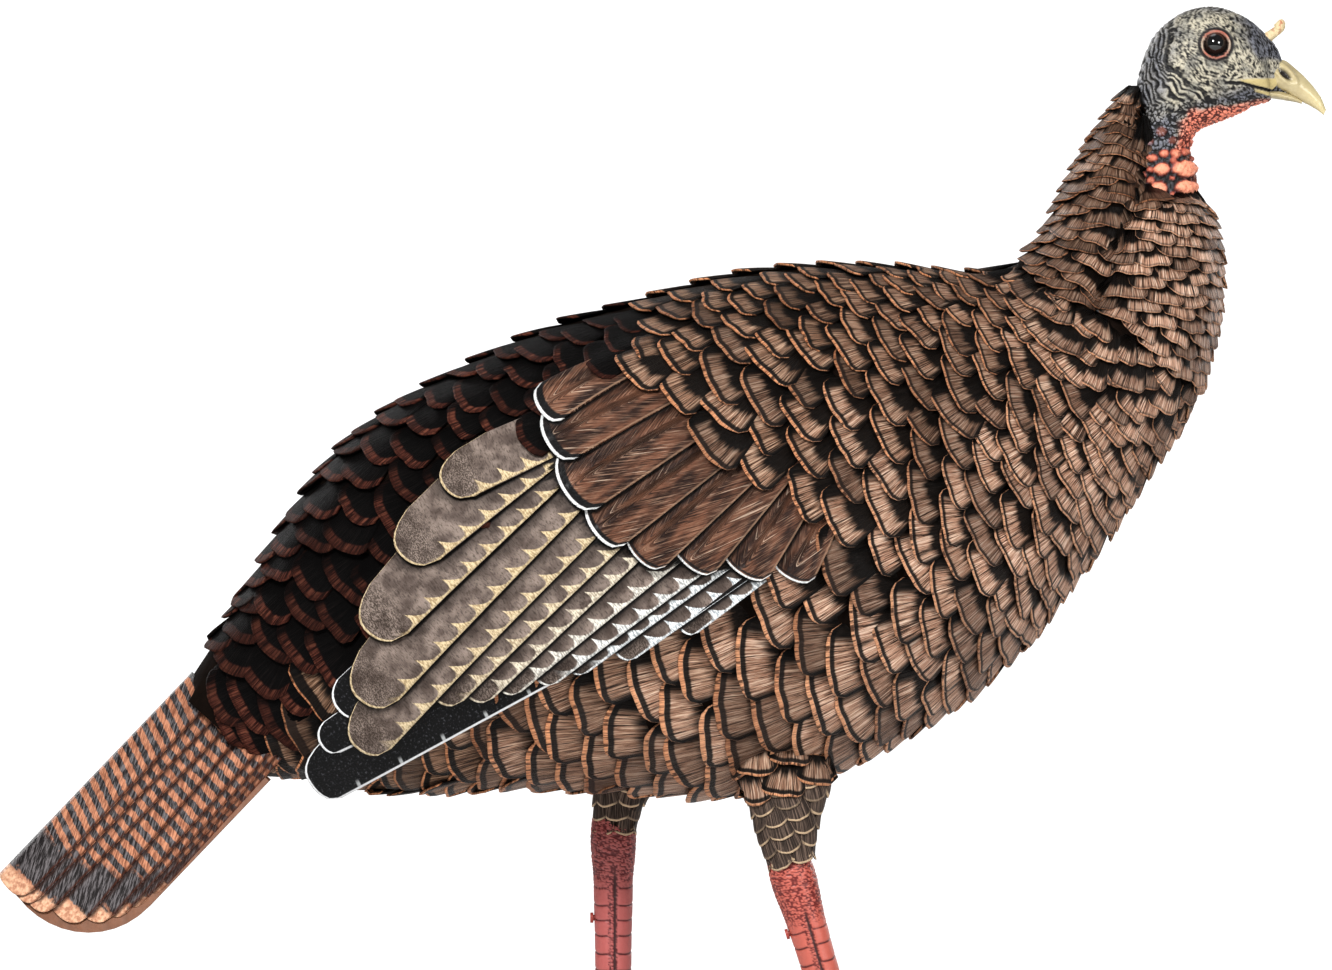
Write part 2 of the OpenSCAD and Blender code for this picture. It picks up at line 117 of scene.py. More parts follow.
class Graph:
    """Short spellings for a material's nodes. Values may be numbers, colours or sockets."""

    def __init__(self, name):
        self.mat = bpy.data.materials.new(name)
        self.mat.use_nodes = True
        self.tree = self.mat.node_tree
        self.bsdf = self.tree.nodes["Principled BSDF"]

    def put(self, socket, value):
        if isinstance(value, bpy.types.NodeSocket):
            self.tree.links.new(value, socket)
        elif isinstance(value, (tuple, list)) and len(value) == 3 and len(getattr(socket, "default_value", ())) == 4:
            socket.default_value = (*value, 1)
        else:
            socket.default_value = value

    def node(self, kind, **props):
        n = self.tree.nodes.new(kind)
        for k, v in props.items():
            setattr(n, k, v)
        return n

    def attr(self, name):
        n = self.node("ShaderNodeAttribute", attribute_name=name)
        s = self.node("ShaderNodeSeparateXYZ")
        self.put(s.inputs[0], n.outputs["Vector"])
        return s.outputs

    def math(self, op, a, b=0.0, c=0.0, clamp=False):
        n = self.node("ShaderNodeMath", operation=op, use_clamp=clamp)
        for socket, v in zip(n.inputs, (a, b, c)):
            self.put(socket, v)
        return n.outputs[0]

    def step(self, x, low, high):
        """0 below low, 1 above high, smooth between; low may be above high."""
        n = self.node("ShaderNodeMapRange", interpolation_type="SMOOTHSTEP")
        for socket, v in zip(n.inputs, (x, low, high, 0.0, 1.0)):
            self.put(socket, v)
        return n.outputs[0]

    def mix(self, fac, a, b, mode="MIX"):
        n = self.node("ShaderNodeMix", data_type="RGBA", blend_type=mode)
        self.put(n.inputs[0], fac)
        self.put(n.inputs[6], a)
        self.put(n.inputs[7], b)
        return n.outputs[2]

    def vec(self, x, y, z):
        n = self.node("ShaderNodeCombineXYZ")
        for socket, v in zip(n.inputs, (x, y, z)):
            self.put(socket, v)
        return n.outputs[0]

    def noise(self, vec, scale, detail=2.0, rough=0.5):
        n = self.node("ShaderNodeTexNoise")
        self.put(n.inputs["Vector"], vec)
        n.inputs["Scale"].default_value = scale
        n.inputs["Detail"].default_value = detail
        n.inputs["Roughness"].default_value = rough
        return n.outputs[0]

    def voronoi(self, vec, scale, feature="F1", out="Distance"):
        n = self.node("ShaderNodeTexVoronoi", feature=feature)
        self.put(n.inputs["Vector"], vec)
        n.inputs["Scale"].default_value = scale
        return n.outputs[out]

    def coords(self):
        return self.node("ShaderNodeTexCoord").outputs["Object"]

    def bump(self, height, distance, strength=1.0, under=None):
        n = self.node("ShaderNodeBump")
        n.inputs["Distance"].default_value = distance
        n.inputs["Strength"].default_value = strength
        self.put(n.inputs["Height"], height)
        if under is not None:
            self.put(n.inputs["Normal"], under)
        return n.outputs[0]

    def finish(self, colour, rough, normal=None, specular=0.5, coat=0.0, coat_rough=0.1):
        self.put(self.bsdf.inputs["Base Color"], colour)
        self.put(self.bsdf.inputs["Roughness"], rough)
        self.bsdf.inputs["Specular IOR Level"].default_value = specular
        self.bsdf.inputs["Coat Weight"].default_value = coat
        self.bsdf.inputs["Coat Roughness"].default_value = coat_rough
        if normal is not None:
            self.put(self.bsdf.inputs["Normal"], normal)
        return self.mat


def srgb(r, g, b):
    """A colour given as it looks on screen, 0 to 255, as the linear numbers the shader wants."""
    return tuple((c / 255 / 12.92) if c <= 10.31 else ((c / 255 + 0.055) / 1.055) ** 2.4 for c in (r, g, b))


# Attributes on every feather:
#   fa: distance in from the rim mm (negative under it), barb coordinate mm, distance in from the side mm
#   fb: random 0 to 1 (lowered on the mane, and towards the neck crease as painted shade), width of the black band mm,
#       width of the pale rim mm
#   fc: copper tone, distance from the rim as a share of what shows (used for painted shadow), place across it from -1
#       (upper) to 1 (lower);
#       on the long feathers the middle one is how far out from the feathers lying over it mm, for their painted shadow,
#       and the last one is the distance up from the tip mm instead

def barbs(g, fa, fb, across=1.6, along=0.06):
    seed = g.math("MULTIPLY", fb[0], 97.0)
    fine = g.noise(g.vec(g.math("MULTIPLY", fa[1], across), g.math("MULTIPLY", fa[0], along), seed), 1.0, 3.0, 0.65)
    broad = g.noise(g.vec(g.math("MULTIPLY", fa[1], across * 0.28), g.math("MULTIPLY", fa[0], along), seed), 1.0, 2.0)
    return fine, broad


def contour_material():
    g = Graph("contour_feathers")
    fa, fb, fc = g.attr("fa"), g.attr("fb"), g.attr("fc")
    fine, broad = barbs(g, fa, fb)
    wobble = g.math("MULTIPLY_ADD", fine, 1.2, g.math("ADD", fa[0], -0.6))
    patch = g.noise(g.coords(), 38.0, 3.0)
    dull = g.mix(patch, srgb(84, 61, 46), srgb(144, 108, 84))
    copper = g.mix(patch, srgb(162, 116, 92), srgb(230, 184, 156))
    base = g.mix(fc[0], dull, copper)
    base = g.mix(g.step(fine, 0.49, 0.67), base, g.mix(fc[0], srgb(186, 154, 128), srgb(253, 230, 210)))
    streak = g.math("MULTIPLY", g.step(fine, 0.50, 0.37), 0.96)
    base = g.mix(streak, base, srgb(26, 17, 12))
    # Pale patches scattered by noise: painted highlight.
    pale_highlight = g.math("MULTIPLY", g.step(broad, 0.52, 0.75), 0.4)
    base = g.mix(pale_highlight, base, g.mix(fc[0], srgb(156, 130, 110), srgb(222, 190, 166)))
    band_end = g.math("ADD", fb[1], fb[2])
    band = g.math("MULTIPLY", g.step(g.math("SUBTRACT", wobble, fb[2]), 0.0, 0.35),
                  g.step(g.math("SUBTRACT", wobble, band_end), 1.1, 0.0))
    band = g.math("MULTIPLY", band, g.step(fb[1], 0.1, 0.8))
    base = g.mix(g.math("MULTIPLY", band, 0.96), base, srgb(10, 9, 9))
    # Per-feather darkening from fb.x: at random on the body, deeper on the mane, and painted shade on feathers near the
    # neck crease.
    shade = g.math("MULTIPLY", g.step(fb[0], 0.6, 0.0), 0.58)
    base = g.mix(shade, base, srgb(54, 40, 33))
    # Painted shadow: near black where the next feather's rim comes over this one, and along the sides that lie under
    # the neighbours.
    painted_shadow = g.math("MAXIMUM", g.step(g.math("MULTIPLY_ADD", broad, 0.5, fc[1]), 0.80, 1.12), g.step(fc[2], -0.42, -0.7))
    painted_shadow = g.math("MAXIMUM", painted_shadow, g.math("MULTIPLY", g.step(fc[2], 0.72, 0.95), g.step(fa[0], 0.0, 2.5)))
    base = g.mix(g.math("MULTIPLY", painted_shadow, 0.98), base, srgb(8, 6, 5))
    rim = g.mix(g.step(fine, 0.36, 0.60), srgb(142, 84, 54), srgb(232, 166, 120))
    rim = g.mix(g.math("MULTIPLY", fc[0], 0.6), rim, g.mix(fine, srgb(150, 104, 76), srgb(240, 208, 178)))
    rim = g.mix(g.math("MULTIPLY", shade, 0.8), rim, srgb(92, 56, 38))
    rim = g.mix(g.math("MULTIPLY", g.step(broad, 0.45, 0.40), 0.8), rim, srgb(48, 28, 20))
    base = g.mix(g.step(g.math("SUBTRACT", fa[0], fb[2]), 0.15, -0.25), base, rim)
    # Near black on the face under the rim: painted shadow.
    base = g.mix(g.step(fa[0], -0.75, -1.15), base, srgb(12, 8, 6))
    height = g.math("ADD", fine, g.math("MULTIPLY", broad, 0.6))
    return g.finish(base, 0.42, g.bump(height, 0.0018, 1.0), 0.16)


def rump_material():
    g = Graph("rump_feathers")
    fa, fb, fc = g.attr("fa"), g.attr("fb"), g.attr("fc")
    fine, broad = barbs(g, fa, fb)
    wobble = g.math("MULTIPLY_ADD", fine, 1.6, g.math("ADD", fa[0], -0.8))
    base = g.mix(g.step(fine, 0.46, 0.8), srgb(8, 7, 7), srgb(29, 24, 23))
    tip = g.mix(g.step(fine, 0.40, 0.62), srgb(30, 15, 13), srgb(96, 54, 43))
    tip = g.mix(g.math("MULTIPLY", g.step(broad, 0.45, 0.39), 0.8), tip, srgb(24, 12, 10))
    tip = g.mix(g.step(broad, 0.52, 0.7), tip, srgb(112, 68, 53))
    tip = g.mix(g.math("MULTIPLY", g.step(fb[0], 0.7, 0.0), 0.55), tip, srgb(34, 18, 14))
    on = g.step(wobble, g.math("ADD", fb[1], 0.7), g.math("ADD", fb[1], -0.5))
    base = g.mix(on, base, tip)
    line = g.math("MULTIPLY", g.step(wobble, 0.7, 1.1), g.step(wobble, 1.9, 1.4))
    base = g.mix(g.math("MULTIPLY", line, 0.55), base, srgb(48, 22, 16))
    # Painted shadow: near black towards the next feather's rim and on the upper side under the neighbour.
    base = g.mix(g.math("MULTIPLY", g.math("MAXIMUM", g.step(fc[1], 0.7, 1.1), g.step(fc[2], -0.3, -0.6)), 0.9), base, srgb(8, 6, 6))
    # Near black on the face under the rim: painted shadow.
    base = g.mix(g.step(fa[0], -0.25, -0.9), base, srgb(16, 10, 9))
    return g.finish(base, 0.6, g.bump(fine, 0.0013, 0.85), 0.06)


def covert_material():
    g = Graph("wing_covert_feathers")
    fa, fb, fc = g.attr("fa"), g.attr("fb"), g.attr("fc")
    seed = g.math("MULTIPLY", fb[0], 97.0)
    lean = g.math("ADD", fa[1], g.math("MULTIPLY", fc[2], g.math("MULTIPLY_ADD", g.step(fa[1], -2.0, 2.0), -0.9, 0.45)))
    fine = g.noise(g.vec(g.math("MULTIPLY", lean, 1.5), g.math("MULTIPLY", fc[2], 0.07), seed), 1.0, 3.0, 0.7)
    hair = g.noise(g.vec(g.math("MULTIPLY", lean, 0.9), g.math("MULTIPLY", fc[2], 0.03), g.math("ADD", seed, 9.0)), 1.0, 2.0, 0.6)
    broad = g.noise(g.vec(g.math("MULTIPLY", fa[1], 0.2), g.math("MULTIPLY", fc[2], 0.05), seed), 1.0, 2.0)
    wobble = g.math("MULTIPLY_ADD", fine, 1.0, g.math("ADD", fa[0], -0.5))
    base = g.mix(g.step(broad, 0.35, 0.68), srgb(50, 31, 24), srgb(118, 80, 61))
    base = g.mix(g.math("MULTIPLY", g.step(fine, 0.50, 0.72), 0.55), base, srgb(186, 152, 128))
    base = g.mix(g.math("MULTIPLY", g.step(fine, 0.50, 0.34), 0.85), base, srgb(26, 17, 14))
    base = g.mix(g.math("MULTIPLY", g.step(hair, 0.64, 0.70), 0.6), base, srgb(212, 186, 164))
    base = g.mix(g.math("MULTIPLY", g.step(fa[2], 1.2, 0.5), 0.45), base, srgb(196, 160, 132))
    band = g.math("MULTIPLY", g.step(wobble, 1.4, 1.8), g.step(wobble, g.math("ADD", fb[1], 2.5), g.math("ADD", fb[1], 1.5)))
    base = g.mix(band, base, srgb(20, 19, 20))
    base = g.mix(g.math("MULTIPLY", g.step(fc[2], 50.0, 80.0), 0.6), base, srgb(24, 15, 12))
    # Painted shadow of the covert lying over this one: darker within 8 mm of its outline, near black right beside it.
    base = g.mix(g.math("MULTIPLY", g.step(fc[1], 8.0, 1.0), 0.5), base, srgb(34, 20, 15))
    base = g.mix(g.math("MULTIPLY", g.step(fc[1], 2.0, 0.4), 0.95), base, srgb(9, 6, 5))
    rim = g.mix(g.step(fine, 0.3, 0.6), srgb(168, 172, 174), srgb(240, 240, 238))
    rim_w = g.math("MULTIPLY_ADD", fc[0], 0.6, 1.0)
    base = g.mix(g.step(g.math("SUBTRACT", wobble, rim_w), 0.25, -0.25), base, rim)
    # Near black on the face under the rim: painted shadow.
    base = g.mix(g.step(fa[0], -0.75, -1.15), base, srgb(18, 14, 13))
    return g.finish(base, 0.42, g.bump(g.math("ADD", fine, g.math("MULTIPLY", broad, 1.5)), 0.0012, 0.9), 0.2)


def flight_material():
    """Secondaries and tertials: grey brown, buff rims with tooth-like bars, speckled tips. fc.x turns buff to white."""
    g = Graph("flight_feathers")
    fa, fb, fc = g.attr("fa"), g.attr("fb"), g.attr("fc")
    seed = g.math("MULTIPLY", fb[0], 97.0)
    fine = g.noise(g.vec(g.math("MULTIPLY", fa[1], 0.5), g.math("MULTIPLY", fc[2], 1.3), seed), 1.0, 3.0, 0.6)
    broad = g.noise(g.vec(g.math("MULTIPLY", fa[1], 0.12), g.math("MULTIPLY", fc[2], 0.12), seed), 1.0, 2.0)
    base = g.mix(g.step(broad, 0.3, 0.72), srgb(88, 76, 70), srgb(142, 128, 119))
    base = g.mix(g.math("MULTIPLY", g.step(fine, 0.52, 0.34), 0.6), base, srgb(52, 42, 37))
    speck = g.noise(g.vec(g.math("MULTIPLY", fa[1], 1.1), g.math("MULTIPLY", fc[2], 1.9), seed), 1.0, 1.0)
    speckled = g.math("MULTIPLY", g.step(speck, 0.53, 0.47), g.step(fc[2], 26.0, 12.0))
    base = g.mix(g.math("MULTIPLY", speckled, 0.75), base, srgb(48, 38, 30))
    pale = g.mix(fc[0], srgb(208, 190, 156), srgb(228, 230, 230))
    pale = g.mix(g.step(fine, 0.58, 0.4), pale, g.mix(fc[0], srgb(158, 138, 106), srgb(150, 156, 160)))
    # bars: teeth that grow from the visible side towards the middle
    phase = g.math("FRACT", g.math("ADD", g.math("DIVIDE", g.math("ADD", fc[2], g.math("MULTIPLY", fa[2], 0.6)), 12.5), fb[0]))
    tooth = g.math("MULTIPLY", g.math("ABSOLUTE", g.math("SUBTRACT", phase, 0.5)), 2.0)
    reach = g.math("MULTIPLY", g.math("POWER", g.math("SUBTRACT", 1.0, tooth), 3.0), 6.4)
    teeth = g.math("MULTIPLY", g.step(g.math("SUBTRACT", fa[2], g.math("ADD", reach, g.math("MULTIPLY", fine, 1.2))), 0.9, -0.2),
                   g.step(fc[2], 9.0, 20.0))
    # Painted shadow of the feather lying over this one: darker within 8 mm of its outline.
    base = g.mix(g.math("MULTIPLY", g.step(fc[1], 8.0, 1.5), 0.6), base, srgb(30, 23, 20))
    base = g.mix(teeth, base, pale)
    rim = g.math("MAXIMUM", g.step(fa[0], 1.35, 0.9), g.step(fa[2], 1.15, 0.75))
    base = g.mix(g.math("MULTIPLY", rim, fb[2]), base, pale)
    # Painted shadow: near black right beside the outline of the feather lying over this one.
    base = g.mix(g.math("MULTIPLY", g.step(fc[1], 2.4, 0.7), 0.97), base, srgb(8, 6, 6))
    # Near black on the face under the rim: painted shadow.
    base = g.mix(g.step(fa[0], -0.75, -1.15), base, srgb(14, 11, 10))
    return g.finish(base, 0.5, g.bump(fine, 0.0008, 0.7), 0.15)


def primary_material():
    g = Graph("primary_feathers")
    fa, fb, fc = g.attr("fa"), g.attr("fb"), g.attr("fc")
    seed = g.math("MULTIPLY", fb[0], 97.0)
    fine = g.noise(g.vec(g.math("MULTIPLY", fa[1], 0.8), g.math("MULTIPLY", fc[2], 0.8), seed), 1.0, 3.0, 0.6)
    base = g.mix(g.step(fine, 0.54, 0.76), srgb(13, 13, 14), srgb(78, 78, 82))
    phase = g.math("FRACT", g.math("ADD", g.math("DIVIDE", fc[2], 24.0), fb[0]))
    bar = g.math("MULTIPLY", g.step(g.math("ABSOLUTE", g.math("SUBTRACT", phase, 0.5)), 0.05, 0.02), g.step(fa[2], 5.0, 2.0))
    base = g.mix(g.math("MULTIPLY", bar, 0.8), base, srgb(186, 188, 188))
    rim = g.math("MAXIMUM", g.step(fa[0], 1.35, 0.95), g.step(fa[2], 1.25, 0.85))
    base = g.mix(g.math("MULTIPLY", rim, fb[2]), base, g.mix(fine, srgb(200, 202, 204), srgb(244, 244, 244)))
    # Painted shadow: near black right beside the outline of the flight feathers lying over this one.
    base = g.mix(g.math("MULTIPLY", g.step(fc[1], 3.0, 0.8), 0.97), base, srgb(6, 6, 6))
    # Near black on the face under the rim: painted shadow.
    base = g.mix(g.step(fa[0], -0.25, -0.9), base, srgb(16, 15, 15))
    return g.finish(base, 0.45, g.bump(fine, 0.0008, 0.7), 0.15)


def tail_material():
    g = Graph("tail_feathers")
    fa, fb, fc = g.attr("fa"), g.attr("fb"), g.attr("fc")
    seed = g.math("MULTIPLY", fb[0], 97.0)
    fine = g.noise(g.vec(g.math("MULTIPLY_ADD", fa[1], 1.1, g.math("MULTIPLY", fc[2], 0.5)), g.math("MULTIPLY", fc[2], 0.16), seed), 1.0, 3.0, 0.65)
    mottle = g.noise(g.vec(g.math("MULTIPLY", fa[1], 0.5), g.math("MULTIPLY", fc[2], 0.4), seed), 1.0, 3.0)
    buff = g.mix(g.step(fine, 0.35, 0.65), srgb(130, 83, 62), srgb(196, 140, 110))
    grey = g.mix(g.step(fine, 0.42, 0.64), srgb(34, 30, 30), srgb(112, 107, 108))
    bent = g.math("MULTIPLY_ADD", fc[0], fa[1], fc[2])
    phase = g.math("FRACT", g.math("ADD", g.math("DIVIDE", g.math("MULTIPLY_ADD", mottle, 2.2, bent), 6.9), fb[0]))
    bars = g.step(g.math("ABSOLUTE", g.math("SUBTRACT", phase, 0.5)), 0.30, 0.20)
    base = g.mix(bars, buff, grey)
    sub = g.math("MULTIPLY", g.step(g.math("MULTIPLY_ADD", mottle, 7.0, fc[2]), 12.5, 15.5), g.step(g.math("MULTIPLY_ADD", mottle, -9.0, fc[2]), 32.0, 27.0))
    base = g.mix(sub, base, grey)
    tip = g.step(g.math("MULTIPLY_ADD", mottle, 7.0, fc[2]), 14.0, 11.5)
    base = g.mix(tip, base, g.mix(g.step(mottle, 0.35, 0.65), srgb(174, 126, 100), srgb(222, 180, 150)))
    # Painted shade: dark along the lower edge, in the crease where the feathers overlap.
    crease = g.step(fa[2], 1.8, 0.4)
    base = g.mix(g.math("MULTIPLY", crease, 0.75), base, srgb(70, 32, 14))
    # Painted shadow of the feather lying over this one, right beside its outline.
    base = g.mix(g.math("MULTIPLY", g.step(fc[1], 2.4, 0.5), 0.85), base, srgb(44, 20, 10))
    # Darker on the face under the rim: painted shadow.
    base = g.mix(g.step(fa[0], -0.25, -0.9), base, srgb(44, 26, 18))
    return g.finish(base, 0.48, g.bump(fine, 0.0009, 0.7), 0.15)


def thigh_material():
    g = Graph("thigh_feathers")
    fa, fb, fc = g.attr("fa"), g.attr("fb"), g.attr("fc")
    fine, broad = barbs(g, fa, fb)
    base = g.mix(g.step(fine, 0.42, 0.7), srgb(50, 41, 36), srgb(122, 104, 92))
    rim = g.mix(fine, srgb(160, 132, 104), srgb(222, 200, 170))
    base = g.mix(g.math("MULTIPLY", g.step(fa[0], 1.3, 0.7), fb[2]), base, rim)
    # Dark on the face under the rim: painted shadow.
    base = g.mix(g.step(fa[0], -0.25, -0.9), base, srgb(18, 14, 11))
    return g.finish(base, 0.55, g.bump(fine, 0.001, 0.7), 0.15)


def under_material():
    """The dark shell that shows in the gaps between feathers: near black, for the dark paint in those gaps and painted
    shade there.
    """
    g = Graph("under_shell")
    n = g.noise(g.coords(), 220.0, 3.0)
    return g.finish(g.mix(n, srgb(12, 8, 6), srgb(30, 21, 16)), 0.85, g.bump(n, 0.0006, 0.6), 0.04)


CONTOUR, RUMP, COVERT, FLIGHT = contour_material(), rump_material(), covert_material(), flight_material()
PRIMARY, TAIL, THIGH, UNDER = primary_material(), tail_material(), thigh_material(), under_material()


# ---------------------------------------------------------------- surfaces to lay feathers on

def unit(v):
    return v / np.maximum(np.linalg.norm(v, axis=-1, keepdims=True), 1e-9)


def cad_tree(*names):
    """A ray-casting tree of CAD nodes, in millimetres."""
    verts, polys, start = [], [], 0
    for name in names:
        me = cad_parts[name].data
        co = np.empty(len(me.vertices) * 3)
        me.vertices.foreach_get("co", co)
        verts.append(co.reshape(-1, 3) / MM)
        polys += [tuple(i + start for i in p.vertices) for p in me.polygons]
        start += len(me.vertices)
    return BVHTree.FromPolygons(np.concatenate(verts).tolist(), polys)


def catmull(rows, t):
    i = int(min(max(t, 0), len(rows) - 1.001))
    f = t - i
    a, b, c, d = (rows[min(max(i + k, 0), len(rows) - 1)] for k in (-1, 0, 1, 2))
    return 0.5 * (2 * b + (c - a) * f + (2 * a - 5 * b + 4 * c - d) * f * f + (3 * b - a - 3 * c + d) * f ** 3)


def ray_grid(tree, rows, ts, angles, wide=0.75):
    """Points on the outside of a shell, cast inward around its spine: upper x, z and lower x, z at each station."""
    rows = [np.array(r, float) for r in rows]
    grid = np.zeros((len(ts), len(angles), 3))
    for i, t in enumerate(ts):
        ux, uz, lx, lz = catmull(rows, t)
        mid = np.array([(ux + lx) / 2, 0, (uz + lz) / 2])
        up = np.array([(ux - lx) / 2, 0, (uz - lz) / 2])
        tall = np.linalg.norm(up)
        for j, a in enumerate(angles):
            d = up * math.cos(a) + np.array([0, -1, 0]) * math.sin(a) * tall * wide
            d /= np.linalg.norm(d)
            hit = tree.ray_cast(Vector(mid + d * 300), Vector(-d), 300)[0]
            grid[i, j] = hit if hit is not None else mid + d * tall * 0.9
    return grid


def smooth_grid(p, times):
    for _ in range(times):
        q = p.copy()
        q[1:-1] = (p[:-2] + 2 * p[1:-1] + p[2:]) / 4
        r = q.copy()
        r[:, 1:-1] = (q[:, :-2] + 2 * q[:, 1:-1] + q[:, 2:]) / 4
        p = r
    return p


def grid_normals(p):
    return unit(np.cross(np.gradient(p, axis=0), np.gradient(p, axis=1)))


def grid_tree(p):
    ns, nk = p.shape[:2]
    polys = [(i * nk + j, i * nk + j + 1, (i + 1) * nk + j + 1, (i + 1) * nk + j)
             for i in range(ns - 1) for j in range(nk - 1)]
    return BVHTree.FromPolygons(p.reshape(-1, 3).tolist(), polys)


class Field:
    """Feather layout by place in the side view: values given at a few spots, blended between them."""

    def __init__(self, rows, power=3.0):
        self.rows = np.array(rows, float)
        self.power = power

    def __call__(self, p):
        flat = p.reshape(-1, 3)
        d = np.hypot(flat[:, None, 0] - self.rows[None, :, 0], flat[:, None, 2] - self.rows[None, :, 1])
        w = 1 / np.maximum(d, 4.0) ** self.power
        w /= w.sum(1, keepdims=True)
        return (w @ self.rows[:, 2:]).reshape(*p.shape[:-1], -1)


def flow_at(values, normal):
    a = np.radians(values[..., 0])
    d = np.stack([np.cos(a), np.zeros_like(a), np.sin(a)], -1)
    return unit(d - (d * normal).sum(-1, keepdims=True) * normal)


def potential(p, want, rounds=500):
    """The function on a grid whose change along every edge is nearest to what the vector field says."""
    ds, dk = p[1:] - p[:-1], p[:, 1:] - p[:, :-1]
    ls, lk = np.linalg.norm(ds, axis=-1) + 1e-6, np.linalg.norm(dk, axis=-1) + 1e-6
    ls_n = np.pad(ls, ((0, 1), (0, 0)), mode="edge")
    lk_n = np.pad(lk, ((0, 0), (0, 1)), mode="edge")
    ws = np.clip((lk_n[1:] + lk_n[:-1]) / 2 / ls, 0.02, 50)
    wk = np.clip((ls_n[:, 1:] + ls_n[:, :-1]) / 2 / lk, 0.02, 50)
    dels = (ds * (want[1:] + want[:-1]) / 2).sum(-1)
    delk = (dk * (want[:, 1:] + want[:, :-1]) / 2).sum(-1)

    def gather(es, ek):
        out = np.zeros(p.shape[:2])
        out[1:] += es
        out[:-1] -= es
        out[:, 1:] += ek
        out[:, :-1] -= ek
        return out

    diag = np.zeros(p.shape[:2])
    diag[1:] += ws
    diag[:-1] += ws
    diag[:, 1:] += wk
    diag[:, :-1] += wk
    x = np.zeros(p.shape[:2])
    x[1:, 0] = np.cumsum(dels[:, 0])
    x[:, 1:] = x[:, :1] + np.cumsum(delk, 1)
    r = gather(ws * dels, wk * delk) - gather(ws * (x[1:] - x[:-1]), wk * (x[:, 1:] - x[:, :-1]))
    z = r / diag
    d = z.copy()
    rz = (r * z).sum()
    for _ in range(rounds):
        ad = gather(ws * (d[1:] - d[:-1]), wk * (d[:, 1:] - d[:, :-1]))
        step = rz / max((d * ad).sum(), 1e-12)
        x += step * d
        r -= step * ad
        z = r / diag
        new = (r * z).sum()
        if new < 1e-10:
            break
        d = z + new / rz * d
        rz = new
    return x


def lattice(p, chi, psi):
    """Places where psi is whole and chi is whole, or half on every other row: (psi, chi, point)."""
    ns, nk = psi.shape
    found = []
    ii, jj = np.meshgrid(np.arange(ns - 1), np.arange(nk - 1), indexing="ij")
    corners = ((0, 0), (0, 1), (1, 1)), ((0, 0), (1, 1), (1, 0))
    for tri in corners:
        q = [np.stack([chi[ii + a, jj + b], psi[ii + a, jj + b]], -1) for a, b in tri]
        lo, hi = np.minimum.reduce([v[..., 1] for v in q]), np.maximum.reduce([v[..., 1] for v in q])
        for i, j in zip(*np.nonzero(np.ceil(lo) <= hi)):
            a, b, c = (v[i, j] for v in q)
            m = np.array([b - a, c - a]).T
            det = np.linalg.det(m)
            if abs(det) < 1e-9:
                continue
            inv = np.linalg.inv(m)
            for row in range(math.ceil(lo[i, j]), math.floor(hi[i, j]) + 1):
                shift = 0.5 * (row % 2)
                first = math.ceil(min(a[0], b[0], c[0]) - shift)
                last = math.floor(max(a[0], b[0], c[0]) - shift)
                for col in range(first, last + 1):
                    u, v = inv @ (np.array([col + shift, row]) - a)
                    if u >= 0 and v >= 0 and u + v < 1:
                        pts = [p[i + x, j + y] for x, y in tri]
                        found.append((row, col + shift, pts[0] * (1 - u - v) + pts[1] * u + pts[2] * v))
    return found


# ---------------------------------------------------------------- feathers

class Plates:
    """Collects closed feather plates into one mesh."""

    def __init__(self):
        self.verts, self.faces, self.attrs, self.count = [], [], [], 0

    def add(self, verts, faces, attrs):
        self.verts.append(verts)
        self.faces += [tuple(i + self.count for i in f) for f in faces]
        self.attrs.append(attrs)
        self.count += len(verts)

    def flip(self):
        """Moves every plate to the other side of the bird."""
        self.verts = [v * np.array([1, -1, 1]) for v in self.verts]
        self.faces = [tuple(reversed(f)) for f in self.faces]

    def mirror(self):
        """The same plates on the other side of the bird."""
        if not self.verts:
            return
        v = np.concatenate(self.verts).copy()
        v[:, 1] *= -1
        old = list(self.faces)
        a = np.concatenate(self.attrs)
        self.faces += [tuple(i + self.count for i in reversed(f)) for f in old]
        self.verts.append(v)
        self.attrs.append(a)
        self.count += len(v)

    def piece(self, name, material, body, slot):
        me = bpy.data.meshes.new(name)
        v = np.concatenate(self.verts) * MM
        me.from_pydata(v.tolist(), [], self.faces)
        a = np.concatenate(self.attrs)
        for k, label in enumerate(("fa", "fb", "fc")):
            layer = me.attributes.new(label, "FLOAT_VECTOR", "POINT")
            layer.data.foreach_set("vector", np.ascontiguousarray(a[:, 3 * k:3 * k + 3], dtype=np.float32).ravel())
        me.shade_smooth()
        me.materials.append(material)
        obj = bpy.data.objects.new(name, me)
        scene.collection.objects.link(obj)
        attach(obj, body)
        return obj


def plate_faces(rows, cols):
    """Faces of a plate: rows of top points from the rim back, then one row under the rim."""
    top = [(r * cols + c, r * cols + c + 1, (r + 1) * cols + c + 1, (r + 1) * cols + c)
           for r in range(rows - 1) for c in range(cols - 1)]
    low = rows * cols
    back = (rows - 1) * cols
    rim = [(low + c, low + c + 1, c + 1, c) for c in range(cols - 1)]
    under = [(back + c, back + c + 1, low + c + 1, low + c) for c in range(cols - 1)]
    sides = [(r * cols, (r + 1) * cols, low) for r in range(rows - 1)]
    sides += [((r + 1) * cols + cols - 1, r * cols + cols - 1, low + cols - 1) for r in range(rows - 1)]
    return top + rim + under + sides


RIM_STEPS = np.array([0, 0.9, 1.9, 3.2, 5.0, 8.0, 12.0, 18.0])
FAN_COLS = 13


